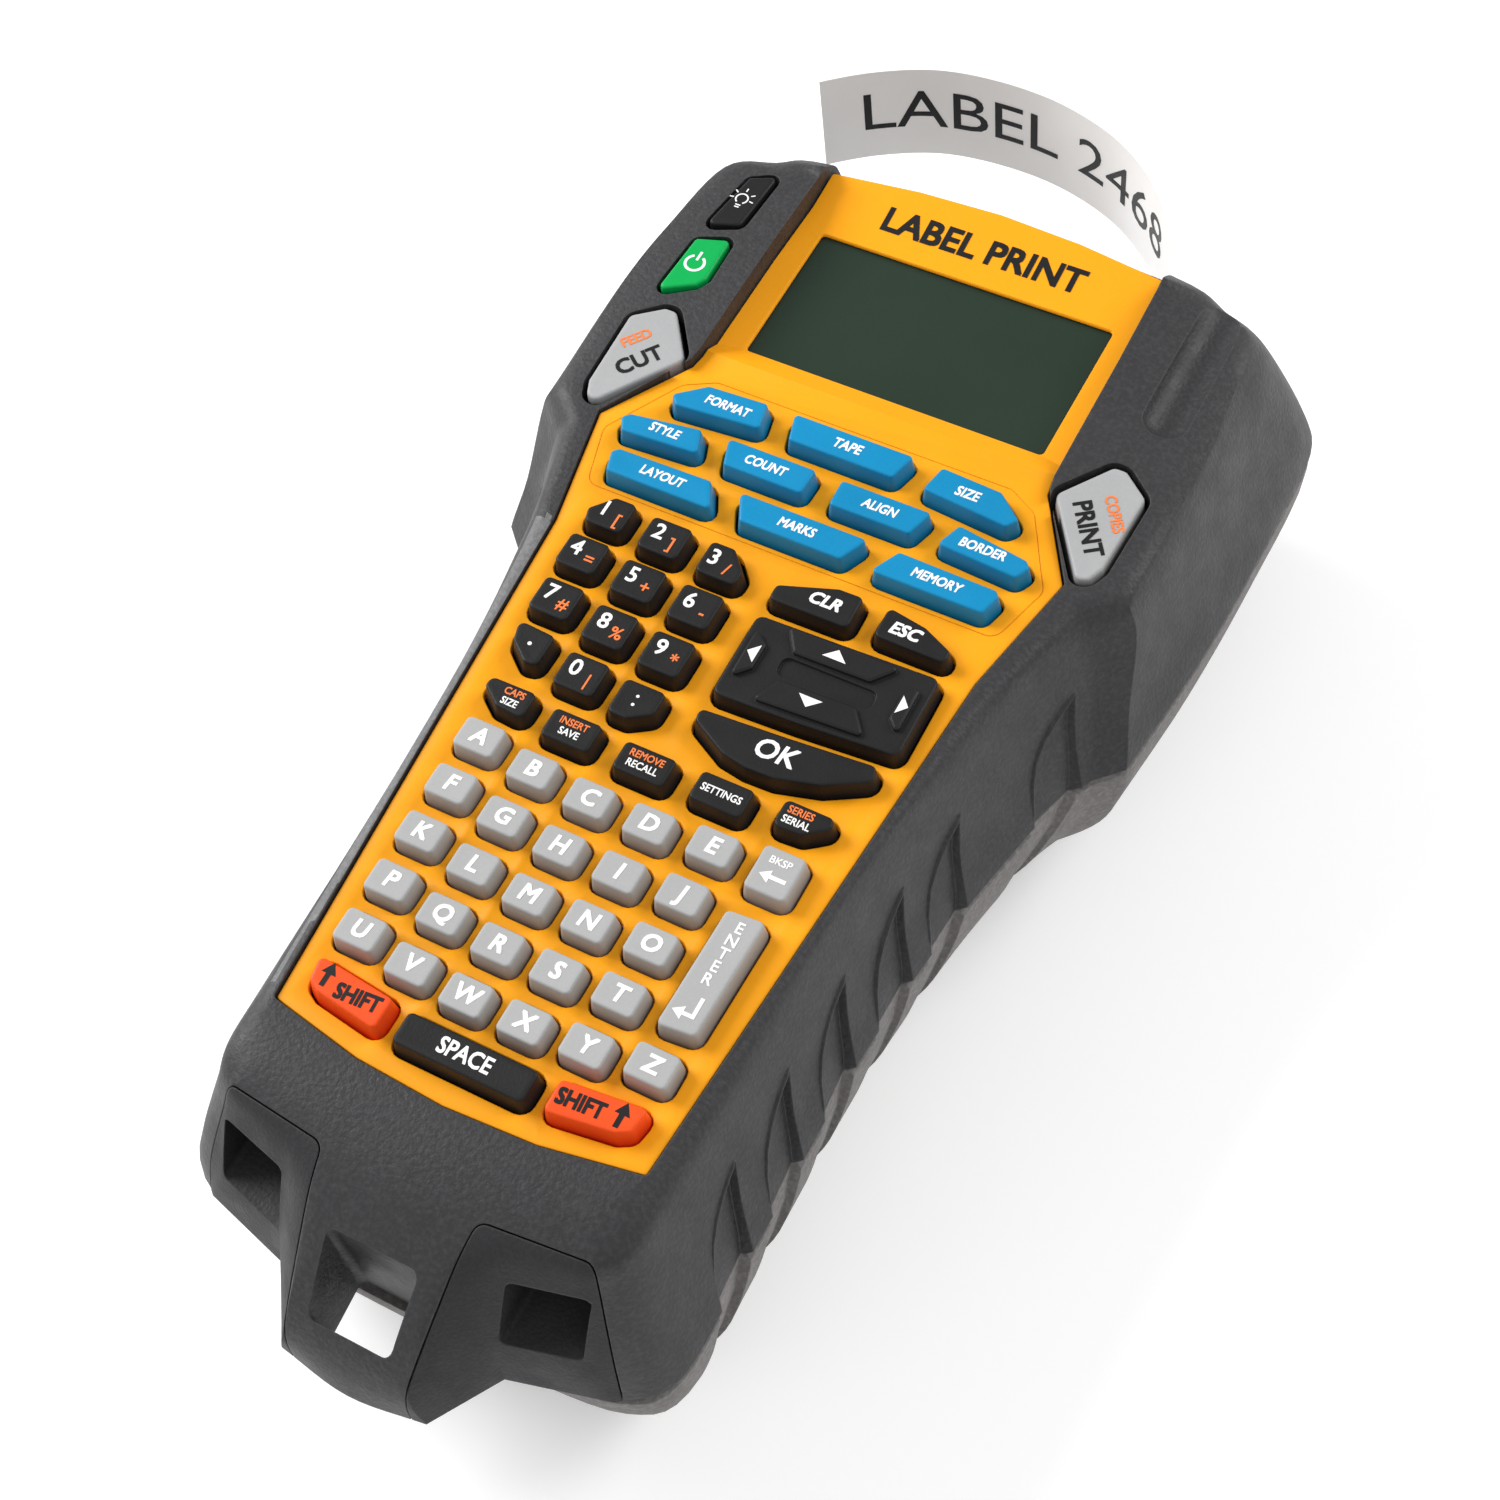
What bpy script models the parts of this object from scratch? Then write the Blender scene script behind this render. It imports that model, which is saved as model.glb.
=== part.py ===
"""Handheld industrial label maker with keypad, display, tape drive and printed tape."""
import bpy
import bmesh
from math import pi, cos, sin, hypot
from mathutils import Matrix, Vector

# All dimensions below are in drawing units of 0.95 mm; UNIT converts them to metres.
UNIT = 0.00095
Y_MID = 87.65          # middle of the overall length, hook tip to outermost tape curl
GAP = 0.32              # clearance between touching pieces

# Heights above the resting surface
Z_PART = 38.0           # parting line between the two shells
Z_SKIN = 64.5           # underside of the front shell's top skin
Z_LEDGE = 70.0          # ledge carrying the keypad part of the faceplate
Z_FACE = 72.5           # keypad surface of the faceplate
Z_PLATE = 70.3          # underside of the faceplate in the keypad area
Z_KEY = 76.0            # top of the letter keys
Z_LCD_BED = 66.8        # underside of the faceplate in the display area
Z_LCD_RIM = 69.2        # lip around the display opening
KEY_TRAVEL = 1.2

# Half outlines of the front shell, bottom centre to head centre, at five heights
SHELL_RINGS = (
    (38.15, ((0, -64.5), (15, -62.5), (23, -49.8), (42, -44.8), (50.2, -36), (50.6, -10),
             (51, 30), (54, 60), (58, 82), (60.5, 92), (64.5, 101), (69.5, 106), (72.5, 135),
             (73.5, 165), (73, 191), (66, 200), (48, 205), (0, 208))),
    (50.0, ((0, -61), (12.5, -60.5), (22.5, -47.2), (37.6, -43.3), (46.5, -35.5), (47, -12),
            (47.6, 30), (50, 60), (54, 83), (56.5, 94.5), (61.5, 106.5), (67, 112), (69.2, 142),
            (69.8, 167), (69.2, 191), (61, 198.8), (45, 203), (0, 205.5))),
    (64.0, ((0, -47), (13.3, -46.5), (22, -40.2), (36.4, -36.7), (42.3, -30.5), (43.3, -14),
            (44.6, 30), (46.8, 60), (50.6, 84), (53, 97), (58.5, 112), (65, 118.5), (65.6, 150),
            (65.2, 170), (63.4, 189.5), (54, 195.6), (41, 199.4), (0, 202))),
    (70.5, ((0, -37.5), (15.5, -36.2), (23, -35), (35.5, -33), (40.5, -27.5), (41.5, -14),
            (43, 30), (45.2, 60), (49, 86), (51.5, 98), (56, 113.5), (62.8, 120), (63.4, 150),
            (62.4, 169), (59.6, 188), (50, 193.6), (39.5, 197.3), (0, 199.4))),
    (73.0, ((0, -27), (14, -26.6), (22, -26), (33, -24.8), (37.4, -22), (38.6, -14),
            (41.6, 30), (43.8, 60), (46.6, 87), (49.3, 98), (53.5, 115), (59.5, 121.5), (60, 150),
            (58.9, 168), (56, 186), (47.8, 190.8), (38.6, 195.2), (0, 197.4))),
)
# Rear shell: the parting outline drawn in by these fractions on the way down
BELLY = ((28.0, 0.012), (17.0, 0.062), (7.0, 0.17), (1.2, 0.29), (0.0, 0.305))
REAR_RING = ((0, -47), (13, -47), (24, -46.6), (42, -44.2), (50, -36), (50.4, -10), (50.8, 30),
             (53.8, 60), (57.8, 82), (60.3, 92), (64.3, 101), (69.3, 106), (72.3, 135),
             (73.3, 165), (72.8, 190.8), (65.8, 199.8), (47.8, 204.8), (0, 207.8))
REAR_WALL = 0.055
REAR_FLOOR = 2.4
CASS_DOOR = (-41.0, 41.0, 108.0, 176.0)
BATT_DOOR = (-23.0, 23.0, -14.0, 71.0)
HINGE_IN = 2.1          # door hinge line in from the edge of its opening

# Faceplate half outline, bottom centre to top centre
PLATE = ((0, -20.8), (18, -19.8), (37, -16.4), (44.5, 92.4), (49.8, 118.6), (38.6, 136.4),
         (38.1, 139.6), (37.9, 170), (37.3, 195), (18, 197.2), (0, 198))
LEDGE = 1.6
LCD_HALF = 32.6
LCD_Y = (147.0, 180.8)

LETTER_PITCH = 12.0
ROW_PITCH = 10.655
ROW_BOW = 2.69
FAN = 0.117
LETTER_HALF = (3.9, 3.0)

# Tape path seen from above: straight run past the print head, then the curl
TAPE_X = 36.5
TAPE_RUN = (150.0, 199.0)
TAPE_CURL = ((35.9, 204), (31.8, 212.5), (24.6, 222.3), (16.0, 230), (6.2, 235.4), (-6.8, 239),
             (-21, 239.6), (-34, 237.4), (-46, 231.6), (-56.2, 224))
TAPE_Z = (38.9, 64.1)
TAPE_THICK = 0.4

ROLLER_AT = (40.55, 176.0)
ROLLER_R = 3.5
GEAR_R = 8.4
PINION_AT = (46.3, 165.3)
PINION_R = 3.4

SLANT = 1.15            # draft of a key from its top edge down to the faceplate
FLANGE = 1.6            # retaining flange beyond the key's top edge
HOLE = 1.5              # faceplate hole beyond the key's top edge


def box_pts(x0, x1, y0, y1, c=0.9):
    return [(x0 + c, y0), (x1 - c, y0), (x1, y0 + c), (x1, y1 - c),
            (x1 - c, y1), (x0 + c, y1), (x0, y1 - c), (x0, y0 + c)]


def flip(pts):
    return [(-x, y) for x, y in reversed(pts)]


BLUE_END_U = [(17.8, 126.0), (35.4, 124.5), (37.0, 126.4), (31.4, 130.9), (19.0, 131.6)]
BLUE_END_V = [(25.9, 115.7), (42.0, 114.7), (43.4, 117.4), (42.2, 118.6), (27.8, 120.7)]
BLUE_MID_V = [(3.2, 115.5), (19.7, 115.5), (21.5, 121.1), (3.0, 121.1)]
BLUE_END_W = [(17.3, 105.0), (39.8, 105.0), (41.0, 109.2), (40.0, 110.2), (20.2, 110.6)]
SHIFT = [(17.0, -14.8), (29.6, -13.0), (31.8, -11.8), (32.6, -7.4), (17.0, -9.0)]
SOFT_END = [(26.0, 49.4), (31.5, 49.8), (35.5, 52.8), (35.1, 54.6), (26.0, 54.7)]

# name, outline of the top edge, height of the top
KEYS = [
    ("key_menu_a", flip(BLUE_END_U), Z_KEY),
    ("key_menu_b", [(-11, 126), (11, 126), (12.6, 131.7), (-12.6, 131.7)], Z_KEY),
    ("key_menu_c", BLUE_END_U, Z_KEY),
    ("key_menu_d", flip(BLUE_END_V), Z_KEY),
    ("key_menu_e", flip(BLUE_MID_V), Z_KEY),
    ("key_menu_f", BLUE_MID_V, Z_KEY),
    ("key_menu_g", BLUE_END_V, Z_KEY),
    ("key_menu_h", flip(BLUE_END_W), Z_KEY),
    ("key_menu_i", [(-10.6, 105), (10.6, 105), (13.3, 110.6), (-13.3, 110.6)], Z_KEY),
    ("key_menu_j", BLUE_END_W, Z_KEY),
    ("key_1", [(-37.3, 92.9), (-31.2, 92.9), (-30.3, 93.8), (-30.3, 98.9), (-31.2, 99.6),
               (-34.6, 99.6), (-37.3, 97.8), (-38.3, 95.3), (-38.3, 93.9)], Z_KEY),
    ("key_2", box_pts(-25.7, -17.6, 91.9, 98.9), Z_KEY),
    ("key_3", [(-11.9, 91.5), (-5.5, 91.5), (-4.6, 92.4), (-4.6, 94.4), (-8.3, 98.4),
               (-11.9, 98.4), (-12.8, 97.6), (-12.8, 92.4)], Z_KEY),
    ("key_4", box_pts(-38.1, -30.2, 82.3, 89.2), Z_KEY),
    ("key_5", box_pts(-25.5, -17.2, 81.0, 88.2), Z_KEY),
    ("key_6", box_pts(-12.8, -4.7, 80.3, 87.8), Z_KEY),
    ("key_7", box_pts(-37.4, -29.5, 71.2, 78.4), Z_KEY),
    ("key_8", box_pts(-25.1, -17.0, 69.6, 77.1), Z_KEY),
    ("key_9", box_pts(-12.6, -4.5, 68.8, 76.4), Z_KEY),
    ("key_point", [(-31.5, 60.2), (-29.4, 60.6), (-29.3, 66.4), (-30.2, 67.0), (-36.0, 67.5),
                   (-36.9, 66.8), (-35.8, 63.6)], Z_KEY),
    ("key_0", box_pts(-24.7, -16.7, 58.6, 65.7), Z_KEY),
    ("key_colon", [(-11.5, 57.5), (-9.0, 57.5), (-5.2, 59.4), (-4.4, 60.6), (-4.4, 63.9),
                   (-5.3, 64.8), (-11.5, 64.8), (-12.4, 63.9), (-12.4, 58.4)], Z_KEY),
    ("key_clear", [(3.4, 91.6), (18.1, 91.8), (18.8, 92.6), (18.6, 98.2), (17.6, 98.6),
                   (13.6, 98.3), (3.4, 94.8), (2.8, 93.8), (2.8, 92.2)], Z_KEY),
    ("key_escape", [(24.2, 92.4), (37.6, 92.6), (38.4, 93.4), (38.0, 94.6), (32, 97.3),
                    (25, 98.6), (24.2, 98.0)], Z_KEY),
    ("key_ok", [(16.0, 57.8), (21.7, 57.9), (30.0, 60.2), (37.3, 64.4), (37.6, 66.4), (36.5, 67.2),
                (20.0, 65.8), (3.8, 64.8), (2.9, 63.8), (5.0, 61.0), (11.0, 58.4)], Z_KEY),
    ("key_soft_a", flip(SOFT_END), Z_KEY),
    ("key_soft_b", box_pts(-21.0, -11.5, 48.1, 53.8), Z_KEY),
    ("key_soft_c", box_pts(-5.7, 4.3, 47.6, 53.2), Z_KEY),
    ("key_soft_d", box_pts(9.8, 19.9, 48.0, 53.6), Z_KEY),
    ("key_soft_e", SOFT_END, Z_KEY),
    ("key_backspace", box_pts(27.0, 34.7, 36.6, 45.2), Z_KEY),
    ("key_enter", [(27.2, 7.2), (32.3, 7.6), (33.1, 8.6), (33.9, 30.4), (33.0, 31.3),
                   (27.8, 30.9), (26.9, 30.0), (26.3, 8.1)], Z_KEY),
    ("key_shift_left", flip(SHIFT), Z_KEY),
    ("key_space", box_pts(-12.8, 12.8, -15.3, -9.6), Z_KEY),
    ("key_shift_right", SHIFT, Z_KEY),
]
NAV = [(3.8, 69.2), (20, 69.9), (38.0, 71.2), (39.1, 72.2), (39.1, 87.8), (38.2, 88.6),
       (20, 87.8), (3.9, 87.4), (2.8, 86.4), (2.8, 70.1)]
PRINT = [(40.4, 136.3), (51.7, 120.3), (53.8, 121.0), (55.1, 124.2), (55.8, 142.0),
         (50.2, 146.4), (47.8, 146.4)]
LIGHT = [(-53.2, 169.8), (-46.8, 172.0), (-45.9, 186.6), (-51.0, 184.2)]
POWER = [(-54.0, 150.2), (-47.4, 154.2), (-46.3, 156.2), (-46.6, 167.2), (-53.2, 165.0)]

for item in list(bpy.data.objects):
    bpy.data.objects.remove(item, do_unlink=True)

SCENE = bpy.context.scene.collection
CUTTERS = bpy.data.collections.new("cutters")
SCENE.children.link(CUTTERS)


def clean_normals(me):
    bm = bmesh.new()
    bm.from_mesh(me)
    bmesh.ops.remove_doubles(bm, verts=bm.verts, dist=1e-7)
    bmesh.ops.recalc_face_normals(bm, faces=bm.faces)
    bent = []
    for f in bm.faces:
        mid = f.calc_center_median()
        if len(f.verts) > 4 or max(abs((v.co - mid).dot(f.normal)) for v in f.verts) > 1e-7:
            bent.append(f)
    bmesh.ops.triangulate(bm, faces=bent)
    bm.to_mesh(me)
    bm.free()


def place(ob, name, colour, rough, metal, origin):
    """Link a node in its own collection, give it a material and set its origin."""
    home = bpy.data.collections.new(name)
    SCENE.children.link(home)
    home.objects.link(ob)
    mat = bpy.data.materials.new("mat_" + name)
    mat.use_nodes = True
    bsdf = mat.node_tree.nodes["Principled BSDF"]
    bsdf.inputs["Base Color"].default_value = (*colour, 1.0)
    bsdf.inputs["Roughness"].default_value = rough
    bsdf.inputs["Metallic"].default_value = metal
    ob.data.materials.append(mat)
    if origin is not None:
        at = Vector(((origin[0]) * UNIT, (origin[1] - Y_MID) * UNIT, origin[2] * UNIT))
        ob.data.transform(Matrix.Translation(-at))
        ob.location = at
    return ob


def mesh_object(name, verts, faces):
    me = bpy.data.meshes.new(name)
    me.from_pydata([(x * UNIT, (y - Y_MID) * UNIT, z * UNIT) for x, y, z in verts], [], faces)
    clean_normals(me)
    return bpy.data.objects.new(name, me)


def loft_data(rings, verts, faces):
    """Append a closed loft through rings of equal vertex count."""
    base = len(verts)
    n = len(rings[0])
    for ring in rings:
        verts.extend(ring)
    for k in range(len(rings) - 1):
        for i in range(n):
            j = (i + 1) % n
            a = base + k * n
            b = a + n
            faces.append((a + i, a + j, b + j, b + i))
    faces.append(tuple(base + i for i in reversed(range(n))))
    faces.append(tuple(base + (len(rings) - 1) * n + i for i in range(n)))


def loft(name, *ring_sets):
    verts = []
    faces = []
    for rings in ring_sets:
        loft_data(rings, verts, faces)
    return mesh_object(name, verts, faces)


def level(pts, z):
    return [(x, y, z) for x, y in pts]


def prism(pts, z0, z1):
    return [level(pts, z0), level(pts, z1)]


def cuboid(x0, x1, y0, y1, z0, z1):
    return prism([(x0, y0), (x1, y0), (x1, y1), (x0, y1)], z0, z1)


def disc(cx, cy, r, n, start=0.0):
    return [(cx + r * cos(start + 2 * pi * i / n), cy + r * sin(start + 2 * pi * i / n))
            for i in range(n)]


def whole(half):
    """Full outline from a right-hand half that runs bottom centre to top centre."""
    left = [(-x, y) for x, y in reversed(half[1:-1])]
    return list(half) + left


def offset(pts, d):
    """Move every edge of a counter-clockwise outline outward by d."""
    out = []
    n = len(pts)
    for i in range(n):
        ax, ay = pts[i - 1]
        bx, by = pts[i]
        cx, cy = pts[(i + 1) % n]
        la = hypot(bx - ax, by - ay)
        lb = hypot(cx - bx, cy - by)
        n1 = ((by - ay) / la, -(bx - ax) / la)
        n2 = ((cy - by) / lb, -(cx - bx) / lb)
        s = 1.0 + n1[0] * n2[0] + n1[1] * n2[1]
        s = max(s, 0.55)
        out.append((bx + d * (n1[0] + n2[0]) / s, by + d * (n1[1] + n2[1]) / s))
    return out


def cut(target, name, *ring_sets, operation="DIFFERENCE"):
    tool = loft(name, *ring_sets)
    tool.hide_render = True
    tool.display_type = "WIRE"
    CUTTERS.objects.link(tool)
    mod = target.modifiers.new(name, "BOOLEAN")
    mod.operation = operation
    mod.solver = "EXACT"
    mod.object = tool
    return tool


def row_y(row, x):
    return (4 - row) * ROW_PITCH - ROW_BOW * (1 - (x / 30.0) ** 2)


def letter_spots():
    spots = []
    for row in range(5):
        for col in range(6):
            if col == 5 and row < 4:
                continue
            fan = 1 + FAN * ((4 - row) * ROW_PITCH - 2 * ROW_PITCH) / 100
            x = (col - 2.5) * LETTER_PITCH * fan
            spots.append((x, row_y(row, (col - 2.5) * LETTER_PITCH)))
    return spots


def letter_square(x, y, grow):
    return [(x - LETTER_HALF[0] - grow, y - LETTER_HALF[1] - grow),
            (x + LETTER_HALF[0] + grow, y - LETTER_HALF[1] - grow),
            (x + LETTER_HALF[0] + grow, y + LETTER_HALF[1] + grow),
            (x - LETTER_HALF[0] - grow, y + LETTER_HALF[1] + grow)]


def key_rings(pts, top, low, plate_under):
    """Flanged key: retaining flange, drafted stem, eased top edge."""
    return [level(offset(pts, FLANGE), low), level(offset(pts, FLANGE), plate_under - GAP),
            level(offset(pts, SLANT), plate_under - GAP),
            level(offset(pts, 0.35), top - 0.75), level(offset(pts, -0.35), top)]


def middle(pts):
    xs = [p[0] for p in pts]
    ys = [p[1] for p in pts]
    return (min(xs) + max(xs)) / 2, (min(ys) + max(ys)) / 2


# ---------------------------------------------------------------- front shell
front = loft("front_housing", [level(whole(half), z) for z, half in SHELL_RINGS])
WING = ((37.4, 136.6), (44.6, 147.8), (50, 148.8), (56.6, 144.6), (58.2, 150), (57.4, 168),
        (55.0, 184), (47.4, 189.6), (37.4, 194.8))
for side, sign in (("left", -1), ("right", 1)):
    ring_top = [(sign * (38.3 + (x - 38.3) * 0.93), y, 75.1 - 0.11 * (x - 38.3)) for x, y in WING]
    ring_low = [(sign * x, y, 71.5) for x, y in WING]
    ring_mid = [(sign * x, y, 74.3 - 0.11 * (x - 38.3)) for x, y in WING]
    cut(front, "wing_" + side, [ring_low, ring_mid, ring_top], operation="UNION")
inner = ((0, -21), (20, -20.5), (34, -18), (37, -12), (38.4, 30), (40.6, 60), (44.6, 85),
         (47.4, 98), (53, 113), (59.4, 120), (60.8, 150), (60, 170), (57.4, 185.4), (49, 190.6),
         (36, 194.4), (0, 196))
spread = (0, 2, 5, 7, 6.6, 6.8, 6.8, 6.6, 6, 5.6, 6.4, 8, 8.4, 8.2, 5, 0)
inner_low = [(x + spread[i] * 0.9, y + (0 if i < 13 else 3.5)) for i, (x, y) in enumerate(inner)]
cut(front, "cavity", [level(whole(inner_low), 36), level(whole(inner_low), 38.2),
                      level(whole(inner), Z_SKIN)])
recess = offset(whole(PLATE[:9] + ((37.2, 215), (0, 215))), GAP)
cut(front, "plate_recess", prism(recess, Z_LEDGE, 80))
lcd_zone = [(0, 139.25), (38.4, 139.25), (38.2, 170), (37.5, 214), (0, 214)]
cut(front, "display_recess", prism(whole(lcd_zone), Z_LCD_BED - GAP, 72))
cut(front, "plate_opening", prism(offset(whole(PLATE), -LEDGE), 60, 80))
side_holes = [prism(offset(p, HOLE + 0.1), 60, 80) for p in (PRINT, flip(PRINT), LIGHT, POWER)]
cut(front, "side_key_holes", *side_holes)
HOOK_HOLE = [(-8.3, -58.4), (8.3, -58.4), (9.2, -45.6), (-9.2, -45.6)]
cut(front, "lanyard_hole", prism(HOOK_HOLE, 30, 80))
cut(front, "tape_slot", cuboid(34.7, 38.3, 190, 215, 37, 65.2))


def bezel_zone(grow):
    """Plan region of one port bezel, from the hook seam out to the corner seam."""
    return offset([(15.6, -35.2), (11.4, -71), (57, -71), (43.4, -44.6), (36.1, -33.0)], grow)


BEZEL_L = flip(bezel_zone(0))
BEZEL_R = bezel_zone(0)
PORT = (22.4, 36.9, 50.4, 63.6)
cut(front, "port_ways", *[cuboid(*sorted((sign * PORT[0], sign * PORT[1])), -60, -14, PORT[2], PORT[3])
                          for sign in (-1, 1)])
cut(front, "bezel_pockets", prism(bezel_zone(GAP), 30, 90), prism(flip(bezel_zone(GAP)), 30, 90))
GRIP_Y = (40.0, 25.6, 11.2, -3.2, -17.6)


def grip_slots(sign, z_low, z_high, depth):
    """Slanted finger recesses along one side of the handle."""
    slots = []
    for gy in GRIP_Y:
        flare = max(0.0, gy - 30) * 0.08
        slot = []
        for z in (z_low, z_high):
            x = 50.8 - (z - 38) * 0.265 + flare - depth
            y = gy - (62 - z) * 0.1
            ring = [(sign * x, y), (sign * (x + 5), y), (sign * (x + 5), y - 8), (sign * x, y - 8)]
            slot.append(level(ring, z))
        slots.append(slot)
    return slots


for sign in (-1, 1):
    cut(front, "grip_%d" % (sign + 1), *grip_slots(sign, 36, 61, 1.5))
place(front, "front_housing", (0.062, 0.062, 0.066), 0.62, 0.0, None)

# ------------------------------------------------------------------ rear shell


def drawn_in(half, k, dz=0.0):
    return [(x * (1 - k), 80 + (y - 80) * (1 - 0.55 * k) + dz) for x, y in half]


rear_rings = [level(whole(REAR_RING), Z_PART - 0.15)]
for z, k in BELLY:
    rear_rings.append(level(whole(drawn_in(REAR_RING, k)), z))
rear = loft("back_housing", list(reversed(rear_rings)))
rear_inner = [level(whole(drawn_in(REAR_RING, REAR_WALL)), 40)]
for z, k in BELLY[:4]:
    rear_inner.append(level(whole(drawn_in(REAR_RING, k + REAR_WALL)), z + REAR_FLOOR * (1 if z < 5 else 0.4)))
cut(rear, "rear_cavity", list(reversed(rear_inner)))
cut(rear, "cassette_opening", cuboid(*CASS_DOOR, -5, 12))
cut(rear, "battery_opening", cuboid(*BATT_DOOR, -5, 12))
for sign in (-1, 1):
    cut(rear, "rear_grip_%d" % (sign + 1), *grip_slots(sign, 30, 45, 1.3))
place(rear, "back_housing", (0.17, 0.16, 0.16), 0.7, 0.0, None)


def door(name, zone, hinge_y, ribs):
    x0, x1, y0, y1 = zone
    g = GAP + 0.05
    panel = loft(name, cuboid(x0 + g, x1 - g, y0 + g, y1 - g, 0.0, 2.0))
    cut(panel, name + "_grip", cuboid(-7, 7, y1 - 9, y1 - 6, -1, 0.9))
    for n, rib in enumerate(ribs):
        cut(panel, "%s_rib%d" % (name, n), cuboid(*rib, 1.0, 33.5), operation="UNION")
    return place(panel, name, (0.17, 0.16, 0.16), 0.7, 0.0, (0, hinge_y, 1.0))


door("cassette_door", CASS_DOOR, CASS_DOOR[2] + HINGE_IN, ((-26, -23.5, 128, 162), (20, 22.5, 128, 162)))
door("battery_door", BATT_DOOR, BATT_DOOR[3] - HINGE_IN, ())

# ------------------------------------------------------------------- faceplate
plate = loft("faceplate", prism(whole(PLATE), Z_LCD_BED, Z_FACE))
cut(plate, "keypad_underside", cuboid(-60, 60, -30, 139.6, 60, Z_PLATE))
well = [[(-33.0, 146.7, Z_LCD_RIM), (33.0, 146.7, Z_LCD_RIM), (33.0, 181.3, Z_LCD_RIM),
         (-33.0, 181.3, Z_LCD_RIM)],
        [(-50.8, 141.2, 72.55), (50.8, 141.2, 72.55), (50.8, 200.0, 71.9), (-50.8, 200.0, 71.9)],
        [(-50.8, 141.2, 78), (50.8, 141.2, 78), (50.8, 200.0, 78), (-50.8, 200.0, 78)]]
cut(plate, "display_well", well)
cut(plate, "display_window", cuboid(-LCD_HALF, LCD_HALF, LCD_Y[0], LCD_Y[1], 60, 80))
cut(plate, "glass_seat", cuboid(-34.6, 34.6, LCD_Y[0] - 1.6, LCD_Y[1] + 1.6, 60, 68.5))
holes = [prism(offset(pts, HOLE), 60, 80) for name, pts, top in KEYS]
holes.append(prism(offset(NAV, HOLE), 60, 80))
holes.extend(prism(letter_square(x, y, 1.35), 60, 80) for x, y in letter_spots())
cut(plate, "key_holes", *holes)
place(plate, "faceplate", (0.98, 0.44, 0.012), 0.38, 0.0, None)

glass = loft("lcd_window", cuboid(-34.2, 34.2, LCD_Y[0] - 1.25, LCD_Y[1] + 1.25, 67.1, 68.2))
place(glass, "lcd_window", (0.025, 0.036, 0.026), 0.12, 0.0, None)
module = loft("lcd_module", cuboid(-35.0, 35.0, 143.5, 185.0, 63.0, 66.3))
place(module, "lcd_module", (0.3, 0.32, 0.3), 0.45, 0.3, None)

# ------------------------------------------------------------------------ keys
BLUE = (0.0, 0.27, 0.62)
BLACK = (0.018, 0.018, 0.02)
GREY = (0.44, 0.45, 0.45)
ORANGE = (0.9, 0.09, 0.012)
for name, pts, top in KEYS:
    shade = BLACK
    if name.startswith("key_menu"):
        shade = BLUE
    elif name in ("key_backspace", "key_enter"):
        shade = GREY
    elif name.startswith("key_shift"):
        shade = ORANGE
    cx, cy = middle(pts)
    key = loft(name, key_rings(pts, top, Z_PLATE - 1.2, Z_PLATE))
    place(key, name, shade, 0.5, 0.0, (cx, cy, Z_PLATE))

nav = loft("nav_pad", key_rings(NAV, Z_KEY, Z_PLATE - 1.2, Z_PLATE))
ridge_up = [(10.0, 87.0), (12.2, 83.2), (28.0, 83.4), (31.0, 87.4)]
ridge_down = [(11.0, 73.0), (30.0, 73.9), (27.6, 76.4), (12.6, 75.6)]
ridge_left = [(4.6, 73.8), (7.0, 76.6), (7.0, 81.8), (4.4, 84.4)]
ridge_right = [(35.0, 76.0), (37.2, 74.6), (37.4, 85.2), (35.0, 83.0)]
for n, ridge in enumerate((ridge_up, ridge_down, ridge_left, ridge_right)):
    cut(nav, "ridge_%d" % n, [level(ridge, 75.0), level(offset(ridge, -0.5), 76.7)], operation="UNION")
place(nav, "nav_pad", BLACK, 0.5, 0.0, (21.0, 78.8, Z_PLATE))

for name, pts, shade in (("key_print", PRINT, GREY), ("key_cut", flip(PRINT), GREY),
                         ("key_light", LIGHT, BLACK), ("key_power", POWER, (0.0, 0.4, 0.12))):
    top = 73.6 if name in ("key_print", "key_cut") else 74.6
    if name in ("key_print", "key_cut"):
        top = 74.0
    rings = [level(offset(pts, 2.0), Z_SKIN - 1.5), level(offset(pts, 2.0), Z_SKIN - GAP),
             level(offset(pts, 1.0), Z_SKIN - GAP), level(offset(pts, 0.4), top - 0.8),
             level(offset(pts, -0.35), top)]
    cx, cy = middle(pts)
    place(loft(name, rings), name, shade, 0.5, 0.0, (cx, cy, Z_SKIN))

mat_half = [(-36.3, -2.9), (-30, -4.6), (-18, -6.3), (0, -7.2), (18, -6.3), (30, -4.6),
            (34.6, -4.4), (34.6, 4.0), (23.9, 4.0), (24.2, 45.2), (18, 45.6), (6, 44.9),
            (-6, 44.9), (-18, 45.7), (-28, 46.9), (-36.6, 47.5)]
mat_half = [(x * (1.0 if y > 20 else 0.975), y) for x, y in mat_half]
keymat = loft("letter_keymat", prism(mat_half, Z_PLATE - 1.3, Z_PLATE - GAP))
caps = []
for x, y in letter_spots():
    caps.append([level(letter_square(x, y, 1.0), Z_PLATE - 1.0),
                 level(letter_square(x, y, 0.3), Z_KEY - 0.75),
                 level(letter_square(x, y, -0.35), Z_KEY)])
cut(keymat, "letter_caps", *caps, operation="UNION")
place(keymat, "letter_keymat", GREY, 0.5, 0.0, None)

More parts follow.
